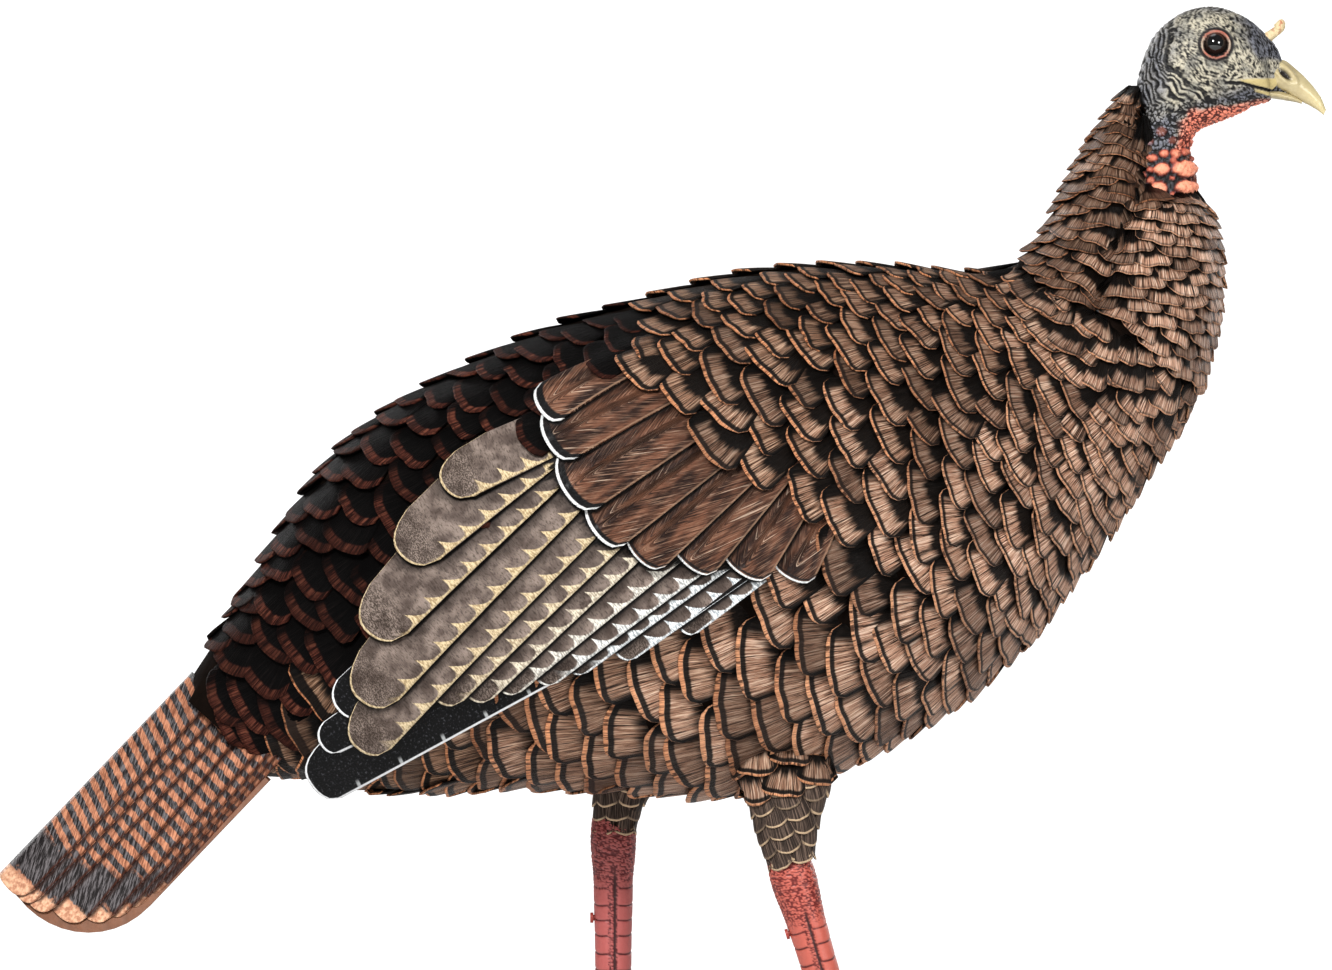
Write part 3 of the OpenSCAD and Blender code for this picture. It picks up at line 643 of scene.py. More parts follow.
def fan_feather(plates, tree, tip, flow, normal, width, show, length, band, rim, tone,
                lift=3.2, pitch=0.15, roll=0.09, thick=1.5, seed=0.0, curve=(0.05, 0.1), root=0.22, jitter=0.0, turn=0.0):
    """A fan-shaped feather: its tip at a point, lying along the flow, narrow at the root, its lower edge lifted."""
    across = np.cross(normal, flow)
    across /= np.linalg.norm(across)
    if turn:
        flow, across = flow * math.cos(turn) + across * math.sin(turn), across * math.cos(turn) - flow * math.sin(turn)
    s = np.linspace(-1, 1, FAN_COLS)
    rim_v = -width * np.where(s < 0, curve[0] * s ** 2 + 0.18 * np.abs(s) ** 5, curve[1] * s ** 2 + 0.1 * np.abs(s) ** 7)
    rim_v += jitter * np.array([noise.noise((seed * 31, x * 2.5, 1.7)) for x in s])
    ds = RIM_STEPS[RIM_STEPS < length - width * (curve[1] + 0.1) - 3]
    v = [rim_v - d for d in ds] + [np.full(FAN_COLS, -length)]
    half = [width / 2 * (root + (1 - root) * np.clip((x + length) / length, 0, 1) ** 0.8) for x in v]
    v, half = np.array(v), np.array(half)
    u = s[None] * half
    d = np.minimum(rim_v[None] - v, 40)
    h = lift + pitch * v + roll * u - 0.6 * s[None] ** 4
    h[0] -= 0.15
    rows = len(v)
    base = tip + across * u[..., None] + flow * v[..., None]
    top = np.zeros((rows, FAN_COLS, 3))
    down = Vector(-normal)
    for r in range(rows):
        for c in range(FAN_COLS):
            q = base[r, c]
            hit = tree.ray_cast(Vector(q + normal * 26), down, 60)[0]
            if hit is None:
                q = q - normal * (u[r, c] ** 2 + v[r, c] ** 2) / 260
            else:
                q = np.array(hit)
            top[r, c] = q + normal * h[r, c]
    low = top[0] - normal * thick - flow * 0.35
    verts = np.concatenate([top.reshape(-1, 3), low])
    flat_d = np.concatenate([d.ravel(), np.full(FAN_COLS, -1.3)])
    barb = np.concatenate([np.tile(s * width / 2, rows), s * width / 2])
    side = np.concatenate([((1 - np.abs(s))[None] * half).ravel(), (1 - np.abs(s)) * half[0]])
    n = len(verts)
    attrs = np.zeros((n, 9))
    attrs[:, 0], attrs[:, 1], attrs[:, 2] = flat_d, barb, side
    fade = np.tile(1 - ramp(np.abs(s + 0.05), 0.45, 0.95), rows + 1)
    attrs[:, 3], attrs[:, 4], attrs[:, 5] = seed, band, rim * fade
    attrs[:, 6], attrs[:, 7], attrs[:, 8] = tone, flat_d / show, np.tile(s, rows + 1)
    plates.add(verts, plate_faces(rows, FAN_COLS), attrs)


def strip_feather(plates, surface, tip, base, width, layer, roll=0.05, rise=0.0, thick=1.2, seed=0.0, band=3.0, rim=1.0,
                  tone=0.0, point=(0.9, 0.5), bow=0.0, cols=13, rows=20, taper=0.25, shaft=0.0, sink=1.5, over=()):
    """A long feather in the side view from base to tip (x, z), laid on a surface with a height over it."""
    tip, base = np.array(tip, float), np.array(base, float)
    length = np.linalg.norm(tip - base)
    along = (tip - base) / length
    across = np.array([along[1], -along[0]]) * (-1)
    if across[1] > 0:
        across = -across
    s = np.linspace(-1, 1, cols)
    end = -width * np.where(s < 0, point[0], point[1]) * (1 - np.sqrt(np.maximum(1 - np.abs(s) ** 2.2, 0)))
    near = np.array([0, 0.8, 1.6, 2.6, 4.0, 6.0, 9.0, 13.0])
    far = np.linspace(0, 1, rows)[1:] ** 1.0 * (length - 13.0) + 13.0
    dist = np.concatenate([near, far])
    v = end[None] - dist[:, None]
    v = np.maximum(v, -length)
    frac = np.clip((v + length) / length, 0, 1)
    half = width / 2 * (1 - taper * (1 - frac) ** 1.3)
    u = s[None] * half
    mid_bow = bow * np.sin(np.pi * np.clip(-v / length, 0, 1))
    flat = tip + along * v[..., None] + across * (u + mid_bow)[..., None]
    h = layer + roll * u + rise * np.clip(-v / length, 0, 1) ** sink + shaft * np.exp(-(u / 0.9) ** 2)
    pts, normals = surface(flat)
    top = pts + normals * h[..., None]
    low = top[0] - normals[0] * thick
    count = len(dist)
    verts = np.concatenate([top.reshape(-1, 3), low])
    side_in = np.concatenate([((1 - s)[None] * half).ravel(), np.full(cols, 30.0)])
    d = np.concatenate([np.repeat(dist, cols), np.full(cols, -1.3)])
    up = np.concatenate([-v.ravel(), -v[0]])
    attrs = np.zeros((len(verts), 9))
    attrs[:, 0], attrs[:, 1], attrs[:, 2] = d, np.concatenate([u.ravel(), u[0]]), side_in
    attrs[:, 3], attrs[:, 4], attrs[:, 5] = seed, band, rim
    # clear: how far out a place is from the feathers lying over this one, mm; the materials paint those feathers'
    # shadow from it.
    clear = np.full(len(up), 30.0)
    spots = np.concatenate([flat.reshape(-1, 2), flat[0]])
    for outline in over:
        clear = np.minimum(clear, beyond(spots, *outline))
    attrs[:, 6], attrs[:, 7], attrs[:, 8] = tone, clear, up
    plates.add(verts, plate_faces(count, cols), attrs)


def beyond(q, tip, base, width, point, taper):
    """How far a place in the side view is outside a long feather's outline, mm."""
    tip, base = np.array(tip, float), np.array(base, float)
    length = np.linalg.norm(tip - base)
    along = (tip - base) / length
    across = np.array([-along[1], along[0]])
    if across[1] > 0:
        across = -across
    v, u = (q - tip) @ along, (q - tip) @ across
    half = width / 2 * (1 - taper * (1 - np.clip((v + length) / length, 0, 1)) ** 1.3)
    s = np.clip(u / half, -1, 1)
    end = -width * np.where(s < 0, point[0], point[1]) * (1 - np.sqrt(np.maximum(1 - np.abs(s) ** 2.2, 0)))
    return np.maximum(np.abs(u) - half, v - end)


def edge_distance(poly, x, z):
    """How far a place is from the edge of an outline, mm."""
    a = np.array(poly, float)
    b = np.roll(a, -1, 0)
    t = np.clip((([x, z] - a) * (b - a)).sum(1) / ((b - a) ** 2).sum(1), 0, 1)
    return np.linalg.norm([x, z] - a - t[:, None] * (b - a), axis=1).min()


def inside(poly, x, z):
    hit = False
    for (x1, z1), (x2, z2) in zip(poly, poly[1:] + poly[:1]):
        if (z1 > z) != (z2 > z) and x < (x2 - x1) * (z - z1) / (z2 - z1) + x1:
            hit = not hit
    return hit


# Upper x, z and lower x, z of each station, tail to neck, as the torso and neck shells are lofted
TORSO = [(-244, 204, -201, 164), (-213, 251, -163, 160), (-163, 328, -126, 154), (-84, 377, -76, 157),
         (-22, 398, -20, 155), (45, 416, 36, 152), (107, 418, 94, 168), (150, 414, 157, 206),
         (168, 415, 207, 262), (177, 421, 269, 356)]
NECK = [(177, 421, 269, 356), (188, 434, 277, 387), (196, 450, 279, 416), (206, 469, 277, 434),
        (217, 488, 271, 447), (230, 508, 269, 450)]

# x, z, flow angle, spacing, show, black band, pale rim, copper tone
# Low copper tones give the duller, darker feathers; on the back they are kept low partly as painted shade.
BODY_FIELD = Field([
    (150, 412, 212, 21, 10.5, 0.7, 0.9, 0.3), (110, 412, 212, 22, 12, 1.0, 1.1, 0.2),
    (50, 408, 212, 24, 12.5, 1.5, 1.3, 0.12), (-20, 392, 212, 25, 13, 1.8, 1.5, 0.1),
    (60, 350, 210, 28, 14, 1.8, 1.6, 0.25), (10, 345, 210, 29, 15, 2.0, 1.8, 0.25),
    (120, 350, 207, 27, 12.5, 1.1, 1.1, 0.35), (150, 380, 208, 25, 11, 0.8, 0.9, 0.35),
    (175, 345, 198, 27, 11, 0.7, 0.9, 0.55), (165, 310, 197, 28, 11.5, 0.8, 0.9, 0.7),
    (205, 390, 232, 17, 9.5, 0.6, 0.7, 0.5), (222, 362, 240, 17, 9, 0.5, 0.7, 0.7),
    (245, 340, 230, 18, 9.5, 0.5, 0.7, 0.85), (212, 335, 212, 22, 10, 0.6, 0.8, 0.8),
    (225, 305, 206, 22, 10.5, 0.6, 0.8, 0.9), (175, 265, 193, 28, 12.5, 0.8, 0.9, 0.9),
    (200, 262, 196, 24, 11, 0.7, 0.9, 0.95), (135, 215, 189, 28, 16, 1.0, 1.3, 0.8),
    (110, 290, 193, 29, 14.5, 1.4, 1.3, 0.6), (85, 250, 189, 32, 19, 1.8, 1.8, 0.6),
    (60, 215, 188, 33, 23, 2.2, 2.2, 0.5), (20, 185, 187, 33, 25, 2.6, 2.6, 0.45),
    (-60, 180, 188, 34, 25, 2.6, 2.4, 0.3), (-140, 165, 193, 32, 23, 2.6, 1.2, 0.0),
    (-80, 365, 210, 26, 14, 4.0, 0.9, 0), (-140, 310, 217, 28, 15, 4.6, 0.9, 0),
    (-180, 260, 220, 30, 15, 5.0, 0.9, 0), (-205, 225, 216, 32, 14.5, 5.2, 0.9, 0),
    (-225, 200, 210, 32, 14.5, 5.4, 0.9, 0)])

NECK_FIELD = Field([
    (225, 505, 268, 14, 7.2, 0.5, 0.35, 0.3), (215, 480, 267, 20, 8.4, 0.5, 0.35, 0.2),
    (205, 450, 262, 21, 8.6, 0.5, 0.4, 0.2), (232, 450, 268, 19, 8.4, 0.5, 0.4, 0.25),
    (195, 430, 250, 21, 8.6, 0.5, 0.45, 0.3), (215, 405, 244, 20, 8.6, 0.5, 0.5, 0.4),
    (240, 425, 262, 17, 7.2, 0.5, 0.4, 0.85), (262, 440, 268, 15, 6.8, 0.4, 0.4, 0.9),
    (272, 400, 264, 16, 7.2, 0.4, 0.4, 0.95), (240, 395, 256, 18, 7.8, 0.4, 0.5, 0.9),
    (268, 365, 250, 18, 8.2, 0.4, 0.5, 0.95), (232, 380, 242, 19, 8.4, 0.4, 0.5, 0.9)])

SIDE_ANGLES = np.radians(np.linspace(-12, 192, 118))
torso_tree = cad_tree("body_shell", "left_wing", "right_wing")
torso_grid = smooth_grid(ray_grid(torso_tree, TORSO, np.linspace(len(TORSO) - 1.02, 0, 150), SIDE_ANGLES), 8)
neck_grid = smooth_grid(ray_grid(cad_tree("neck_shell", "body_shell"), [(168.5, 415.3, 263.5, 347.7)] + NECK,
                                 np.linspace(len(NECK), 0.1, 70), SIDE_ANGLES), 3)


def lay_out(grid, field):
    """Lattice points over a grid: row, column, point and the field's values there; with them the grid's normals, its
    ray-casting tree and psi.
    """
    normals = grid_normals(grid)
    values = field(grid)
    flow = flow_at(values, normals)
    across = np.cross(normals, flow)
    psi = potential(grid, flow / (values[..., 2:3] * 0.76))
    chi = potential(grid, across / values[..., 1:2])
    top = np.abs(SIDE_ANGLES).argmin()
    chi -= chi[:, top].mean()
    tree = grid_tree(grid)
    spots = []
    for row, col, p in lattice(grid, chi, psi):
        hit = tree.find_nearest(Vector(p))
        n = np.array(hit[1])
        v = field(p[None])[0]
        spots.append((row, col, p, v))
    return spots, normals, tree, psi


def smooth_normal(grid, normals, p):
    flat = grid.reshape(-1, 3)
    d = ((flat - p) ** 2).sum(1)
    near = np.argpartition(d, 12)[:12]
    return unit(normals.reshape(-1, 3)[near].mean(0))


# Outline of the part of the wing that shows its own long feathers, x and z
WING_AREA = [(-54, 352), (-28, 364), (-6, 346), (25, 316), (42, 304), (62, 292), (72, 284), (66, 270), (52, 266),
             (38, 257), (20, 246), (-6, 231), (-44, 217), (-86, 205), (-110, 192), (-166, 161), (-180, 170),
             (-164, 208), (-128, 240), (-108, 268), (-92, 298), (-76, 318)]


def closed_shell(name, grid, inset, material, body, replaces=()):
    """Both halves of a grid as one closed shell a little under the feathers."""
    keep = [k for k, a in enumerate(SIDE_ANGLES) if -0.01 <= a <= math.pi + 0.01]
    p = (grid - grid_normals(grid) * inset)[:, keep]
    p[:, :, 1] = np.minimum(p[:, :, 1], -0.05)
    other = p[:, -2:0:-1] * np.array([1, -1, 1])
    ring = np.concatenate([p, other], 1)
    n, m = ring.shape[:2]
    verts = np.concatenate([ring.reshape(-1, 3), [ring[0].mean(0)], [ring[-1].mean(0)]])
    faces = [(i * m + j, (i + 1) * m + j, (i + 1) * m + (j + 1) % m, i * m + (j + 1) % m)
             for i in range(n - 1) for j in range(m)]
    faces += [(n * m, j, (j + 1) % m) for j in range(m)]
    faces += [(n * m + 1, (n - 1) * m + (j + 1) % m, (n - 1) * m + j) for j in range(m)]
    return solid_piece(name, verts, faces, material, body, replaces)


def solid_piece(name, verts, faces, material, body, replaces=(), attrs=None):
    me = bpy.data.meshes.new(name)
    me.from_pydata((np.asarray(verts) * MM).tolist(), [], faces)
    for label, data in (attrs or {}).items():
        layer = me.attributes.new(label, "FLOAT_VECTOR", "POINT")
        layer.data.foreach_set("vector", np.ascontiguousarray(data, dtype=np.float32).ravel())
    me.shade_smooth()
    me.materials.append(material)
    obj = bpy.data.objects.new(name, me)
    scene.collection.objects.link(obj)
    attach(obj, body)
    for node in replaces:
        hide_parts(node)
    return obj


def ring_faces(n, m, caps=True):
    """Faces of a tube of n rings of m points; the caps close on two extra points after the rings."""
    faces = [(i * m + j, i * m + (j + 1) % m, (i + 1) * m + (j + 1) % m, (i + 1) * m + j)
             for i in range(n - 1) for j in range(m)]
    if caps:
        faces += [(n * m, (j + 1) % m, j) for j in range(m)]
        faces += [(n * m + 1, (n - 1) * m + j, (n - 1) * m + (j + 1) % m) for j in range(m)]
    return faces


def body_feathers():
    spots, normals, tree, psi = lay_out(torso_grid, BODY_FIELD)
    groups = {}
    for row, col, p, v in spots:
        if col < -0.3 or (p[1] > v[1] * 0.3 and p[2] < 300):
            continue
        x, z = p[0], p[2]
        if inside(WING_AREA, x, z) and p[1] < -20:
            continue
        n = smooth_normal(torso_grid, normals, p)
        flow = flow_at(v[None], n[None])[0]
        rump = x < -14 - (395 - z) * 0.55 and z > 178 and x < -20
        if z < 215 and x > -190:
            rump = False
        tract = "rump" if rump else "breast" if x > 120 else "belly" if z < 265 else "back"
        plates, middle = groups.setdefault(tract, (Plates(), Plates()))
        seed = rng.random()
        phi, spacing, show, band, rim, tone = v
        if x < -228:
            continue
        k = 0.85 + 0.34 * rng.random()
        target = middle if abs(col) < 0.25 else plates
        stray, slide = rng.random() - 0.5, rng.random() - 0.5
        if target is middle:
            p = p * np.array([1, 0, 1])
        else:
            p = p + flow * show * 0.34 * stray + np.cross(n, flow) * spacing * 0.2 * slide
        ride = max(0.0, 1 - edge_distance(WING_AREA, x, z) / 24) if p[1] < -20 and z > 262 else 0.0
        top = max(0.0, (n[2] - 0.5) * 2)
        near_seam = max(0.0, 1 - max((SEAM_AT - p) @ SEAM_AXIS, 0) / 22)
        length = show * 2.3 + 3
        room = (SEAM_AT - p) @ SEAM_AXIS / max(-flow @ SEAM_AXIS, 0.2)
        length = min(length, max(room, 6.5))
        near_seam = min(near_seam * 1.3, 1.0)
        fan_feather(target, tree, p, flow, n, spacing * 1.42 * k, show, length, band, rim,
                    float(np.clip(tone + 0.3 * (rng.random() - 0.5), 0, 1)), seed=seed,
                    lift=3.5 + 1.6 * (rng.random() - 0.5) - (3.2 if target is middle else 1.8) * near_seam + 4.2 * ride - 1.3 * top, thick=1.5,
                    pitch=0.2 - 0.09 * top, roll=0.085, jitter=1.2,
                    turn=0.0 if target is middle else 0.4 * (rng.random() - 0.5))
    for tract, (plates, middle) in groups.items():
        mat = RUMP if tract == "rump" else CONTOUR
        plates.piece(f"{tract}_feathers_right", mat, "body", "moulded_plumage")
        plates.flip()
        plates.piece(f"{tract}_feathers_left", mat, "body", "moulded_plumage")
        if middle.verts:
            middle.piece(f"{tract}_feathers_middle", mat, "body", "moulded_plumage")


def bare(p):
    """How far inside the bare patch of the neck a place is, mm; negative outside it."""
    return np.minimum(p[..., 0] - 235.5, p[..., 2] - 449.5)


CREASE = np.array([(234, 493), (235.3, 449.5), (227.9, 439), (222.5, 420), (218.3, 403), (212, 387)])


def crease_distance(p):
    q = p[..., [0, 2]]
    best = np.full(q.shape[:-1], 1e9)
    for a, b in zip(CREASE[:-1], CREASE[1:]):
        t = np.clip(((q - a) * (b - a)).sum(-1) / ((b - a) ** 2).sum(), 0, 1)
        best = np.minimum(best, np.linalg.norm(q - a - t[..., None] * (b - a), axis=-1))
    return best


def carve_neck(grid):
    out = grid.copy()
    groove = 9.5 * np.exp(-(crease_distance(grid) / 5.6) ** 2) * np.clip((np.abs(grid[..., 1]) - 4) / 12, 0, 1)
    out += -grid_normals(grid) * groove[..., None]
    t = np.clip((bare(grid) + 1.0) / 5.0, 0, 1)
    t = t * t * (3 - 2 * t)
    y = out[..., 1]
    out[..., 1] = np.where(t > 0, y * (1 - t) + np.sign(y) * np.minimum(np.abs(y), 10.5) * t, y)
    return out


neck_base = carve_neck(neck_grid)


def neck_feathers():
    spots, normals, tree, psi = lay_out(neck_grid, NECK_FIELD)
    base_tree = grid_tree(neck_base)
    base_normals = grid_normals(neck_base)
    plates, middle = Plates(), Plates()
    for row, col, p, v in spots:
        if col < -0.3 or (p[1] > v[1] * 0.3 and p[0] > 230):
            continue
        if bare(p) > 0.5 or p[2] > 500 or (crease_distance(p) < 1.4 and p[1] < -12):
            continue
        above = (p - SEAM_AT) @ SEAM_AXIS
        if above < -7:
            continue
        p = p + SEAM_AXIS * max(0.0, (-1.5 if abs(col) < 0.25 else -3.5) - above)
        n = smooth_normal(neck_grid, normals, p)
        flow = flow_at(v[None], n[None])[0]
        seed = rng.random()
        phi, spacing, show, band, rim, tone = v
        target = middle if abs(col) < 0.25 else plates
        hem = max(0.0, 1 - max((p - SEAM_AT) @ SEAM_AXIS + 6, 0) / 14)
        high = max(0.0, min((p[2] - 478) / 20, 1))
        mane = p[0] < np.interp(p[2], CREASE[::-1, 1], CREASE[::-1, 0])
        # A lower fb.x darkens the feather: on the mane, and towards the crease as painted shade.
        seed *= 0.45 if mane else 1.0
        seed *= min(1.0, crease_distance(p) / 9)
        fan_feather(target, base_tree, p, flow, n, spacing * 1.5 * (0.85 + 0.3 * rng.random()) * (1 - 0.45 * high), show,
                    (show * 2.2 + 2) * (1 - 0.35 * high), band, rim,
                    float(np.clip(tone + 0.4 * (rng.random() - 0.5), 0, 1)), seed=seed,
                    lift=(2.9 - 1.5 * high + 1.2 * (rng.random() - 0.5)) * (0.55 if p[2] > 442 and p[0] > 240 else 1) + 0.6 * hem, pitch=0.3, root=0.22 + 0.5 * high, roll=0.05, thick=1.4, jitter=1.6,
                    turn=0.0 if target is middle else 0.42 * (1 - 0.7 * high) * (rng.random() - 0.5))
    plates.mirror()
    if middle.verts:
        plates.add(np.concatenate(middle.verts), middle.faces, np.concatenate(middle.attrs))
    plates.piece("neck_feathers", CONTOUR, "head", "moulded_plumage")


# ---------------------------------------------------------------- wings

def fit_wing():
    """A smooth sheet through the outside of the wing: y as a polynomial of x and z."""
    tree = cad_tree("right_wing")
    rows, ys = [], []
    for x in np.arange(-175, 100, 7.0):
        for z in np.arange(160, 380, 7.0):
            hit = tree.ray_cast(Vector((x, -200, z)), Vector((0, 1, 0)), 200)[0]
            if hit is not None and hit[1] < -20:
                rows.append((x, z))
                ys.append(hit[1])
    return np.linalg.lstsq(wing_terms(np.array(rows)), np.array(ys), rcond=None)[0]


def wing_terms(q):
    x, z = q[..., 0] / 150, (q[..., 1] - 260) / 100
    return np.stack([x ** i * z ** j for i in range(5) for j in range(5 - i)], -1)


WING_FIT = fit_wing()


def wing_surface(q):
    y = wing_terms(q) @ WING_FIT
    e = 0.5
    fx = (wing_terms(q + [e, 0]) @ WING_FIT - wing_terms(q - [e, 0]) @ WING_FIT) / (2 * e)
    fz = (wing_terms(q + [0, e]) @ WING_FIT - wing_terms(q - [0, e]) @ WING_FIT) / (2 * e)
    pts = np.stack([q[..., 0], y, q[..., 1]], -1)
    return pts, unit(np.stack([fx, -np.ones_like(fx), fz], -1))


# Flight feathers by the line of their lower edge: tip end x, z, root end x, z, width, height, whiteness
FLIGHT_ROWS = [
    (-98, 297.5, -40, 327, 26, 8.0, 0.0), (-115.5, 265.5, -38, 327, 32, 7.5, 0.0),
    (-131.5, 229.5, -30, 325, 33, 7.1, 0.0), (-136, 198, -24, 311, 33, 6.7, 0.0),
    (-140, 175.5, -10, 304, 29, 6.3, 0.05), (-103, 199, -4, 292, 24, 5.6, 0.15),
    (-88, 200.5, 6, 286, 22, 5.1, 0.35), (-74, 204, 16, 275, 20, 4.7, 0.6),
    (-56, 208.5, 26, 268, 19, 4.3, 0.8), (-41, 213.5, 36, 268, 18, 3.9, 0.95),
    (-17, 220.5, 50, 266, 17, 3.5, 1.0), (14, 233, 62, 268, 15, 3.1, 1.0)]
# Primaries: tip x, z, pointing angle, length, width, height
PRIMARY_ROWS = [(-178.5, 163, 207, 150, 32, 3.4), (-172, 181.5, 203, 60, 18, 4.2), (-163.5, 199, 212, 60, 24, 4.8)]
# Greater coverts: tip x, z, pointing angle, length, width, height, black band
COVERT_ROWS = [(-60.5, 341, 214, 62, 21, 9.4, 3.4), (-57.5, 326.5, 209, 80, 29, 9.0, 3.2),
               (-49.5, 304, 212, 98, 34, 8.5, 3.4), (-35, 284.5, 216, 102, 30, 7.8, 1.6),
               (-14.5, 272.5, 221, 100, 28, 7.0, 0.8), (10, 268.5, 228, 92, 28, 6.2, 0.6),
               (36, 264.5, 235, 72, 28, 5.4, 0.5), (60, 262, 240, 56, 24, 4.6, 0.4)]


def wings():
    flight, primaries, coverts = Plates(), Plates(), Plates()
    flight_lines, covert_lines = [], []
    for x, z, phi, length, width, layer, band in COVERT_ROWS:
        d = np.array([math.cos(math.radians(phi)), math.sin(math.radians(phi))])
        covert_lines.append(((x, z), np.array([x, z]) - d * length, width, (0.35, 0.28), 0.3))
    for x1, z1, x2, z2, width, layer, white in FLIGHT_ROWS:
        a, b = np.array([x1, z1]), np.array([x2, z2])
        along = unit(a - b)
        up = -np.array([-along[1], along[0]])
        flight_lines.append((a + along * width * 0.22 + up * width / 2, b + up * width / 2, width, (1.15, 0.45), 0.05))
    for k in reversed(range(len(FLIGHT_ROWS))):
        tip, base, width, point, taper = flight_lines[k]
        layer, white = FLIGHT_ROWS[k][5:]
        strip_feather(flight, wing_surface, tip, base, width, layer, roll=0.11, rise=-layer + 0.6, seed=rng.random(),
                      tone=white, point=point, taper=taper, rows=24, shaft=0.35, thick=1.5,
                      over=flight_lines[max(k - 1, 0):k] + covert_lines)
    for k, (x, z, phi, length, width, layer) in enumerate(PRIMARY_ROWS):
        d = np.array([math.cos(math.radians(phi)), math.sin(math.radians(phi))])
        strip_feather(primaries, wing_surface, (x, z), np.array([x, z]) - d * length, width, layer, roll=0.05,
                      rise=-layer + 0.4, seed=rng.random(), point=(1.3, 0.35) if k == 0 else (0.7, 0.45), taper=0.1,
                      shaft=0.3, thick=1.0, over=flight_lines)
    for k in reversed(range(len(COVERT_ROWS))):
        tip, base, width, point, taper = covert_lines[k]
        layer, band = COVERT_ROWS[k][5:]
        strip_feather(coverts, wing_surface, tip, base, width, layer, roll=0.13, rise=-layer - 3.0, sink=1.6,
                      seed=rng.random(), band=band, rim=1.0, point=point, taper=taper, thick=1.5, rows=24,
                      tone=1.0 if band > 1 else 0.0, shaft=0.25, over=covert_lines[max(k - 1, 0):k])
    for plates, label, mat in ((flight, "flight_feathers", FLIGHT), (primaries, "primary_feathers", PRIMARY),
                               (coverts, "covert_feathers", COVERT)):
        plates.mirror()
        plates.piece(label, mat, "body", "wing_plumage")


# ---------------------------------------------------------------- tail

TAIL_U, TAIL_V = np.array([-0.691, 0, -0.723]), np.array([0.723, 0, -0.691])


def tail_surface(q):
    u, v = -q[..., 0], np.maximum(-q[..., 1], 0.4)
    y = -34 * (v / 64) ** 0.62
    dy = -34 * 0.62 / 64 * (v / 64) ** -0.38
    pts = np.array([-244, 0, 204]) + u[..., None] * TAIL_U + v[..., None] * TAIL_V + y[..., None] * np.array([0, 1, 0])
    return pts, unit(dy[..., None] * TAIL_V + np.array([0, -1, 0]))


# Lower edge at the root, at the tip, width, how far the tip reaches, height
TAIL_ROWS = [(17.0, 17.8, 17.4, 130, 2.6), (24, 22.5, 15, 129.5, 2.1), (31, 31, 17, 128, 1.7),
             (38, 47, 22, 122, 1.3), (50, 55, 20, 113, 0.9), (55, 58.5, 14, 104, 0.6), (58, 61, 12, 94, 0.3),
             (61, 63.5, 12, 82, 0.0)]


def tail():
    plates = Plates()
    lines = [((-reach, -(end - width / 2)), (12, -(root - width / 2)), width, (0.16, 0.5), 0.0)
             for root, end, width, reach, layer in TAIL_ROWS]
    for k in reversed(range(len(TAIL_ROWS))):
        root, end, width, reach, layer = TAIL_ROWS[k]
        strip_feather(plates, tail_surface, lines[k][0], lines[k][1], width, layer, over=lines[max(k - 1, 0):k],
                      roll=0.03, rise=0, seed=rng.random(), point=(0.16, 0.5), taper=0.0, rows=30, shaft=0.0,
                      thick=1.1, tone=0.35 if root < 20 else 0.12)
    plates.mirror()
    plates.piece("tail_feathers", TAIL, "body", "tail_plumage")


# ---------------------------------------------------------------- head

HEAD_ROWS = [(230, 440, 266, 437, 17), (235, 467, 266, 461, 15), (234.5, 486, 263, 476, 14.5),
             (236, 506, 267, 485, 16), (243.5, 530, 276, 489, 18), (257.5, 543, 286, 493, 19.5),
             (274, 547, 296, 498, 19), (290, 542, 303, 500, 15.5), (301, 533, 303, 501.5, 10.2),
             (306.6, 526, 306.6, 503.0, 7.1), (309.4, 518.5, 310.4, 504.6, 4.4)]
EYE = np.array([275.7, 528.0])
# Bumps on the bare neck: x, z, half length, half height, how high
BUMPS = [(260.1, 465.8, 5.9, 4.3, 2.6), (260.7, 456.6, 6.0, 3.8, 2.6), (248.6, 465.8, 3.9, 3.3, 2.0),
         (247.4, 455.8, 4.3, 4.0, 2.1), (244.2, 471.2, 2.9, 2.1, 1.4), (239.2, 462.7, 2.2, 2.1, 1.3),
         (243.2, 460.0, 2.1, 2.0, 1.2), (238.4, 452.4, 2.3, 2.3, 1.3), (249.6, 473.4, 2.6, 2.2, 1.4),
         (255.4, 473.4, 2.6, 2.4, 1.5), (260.4, 474.4, 2.1, 2.0, 1.2), (248.5, 484.4, 3.0, 2.6, 1.2),
         (268.5, 463.5, 2.2, 3.4, 1.6), (269.3, 454.5, 2.6, 4.0, 2.2), (242.0, 479.5, 2.4, 2.2, 1.0),
         (254.0, 480.0, 2.3, 2.0, 1.0),
         (253.8, 461.0, 1.5, 1.4, 0.9), (254.2, 470.2, 1.6, 1.4, 0.9), (238.6, 468.4, 1.9, 1.7, 1.1),
         (243.0, 465.4, 1.7, 1.6, 1.0), (253.9, 452.6, 1.7, 1.9, 1.0), (264.6, 471.0, 1.8, 1.6, 1.0),
         (258.0, 478.6, 1.7, 1.5, 0.9), (263.6, 478.8, 1.8, 1.6, 0.9), (238.4, 474.6, 1.8, 1.6, 0.8)]


def ridged(q, scale, seed, octaves=2):
    out = np.zeros(len(q))
    for k in range(octaves):
        f = scale * 2.0 ** k
        out += np.array([1 - abs(noise.noise((a * f + seed, b * f, c * f))) * 2 for a, b, c in q]) / 2 ** k
    return out / (2 - 0.5 ** (octaves - 1))


def ramp(x, lo, hi):
    t = np.clip((x - lo) / (hi - lo), 0, 1)
    return t * t * (3 - 2 * t)


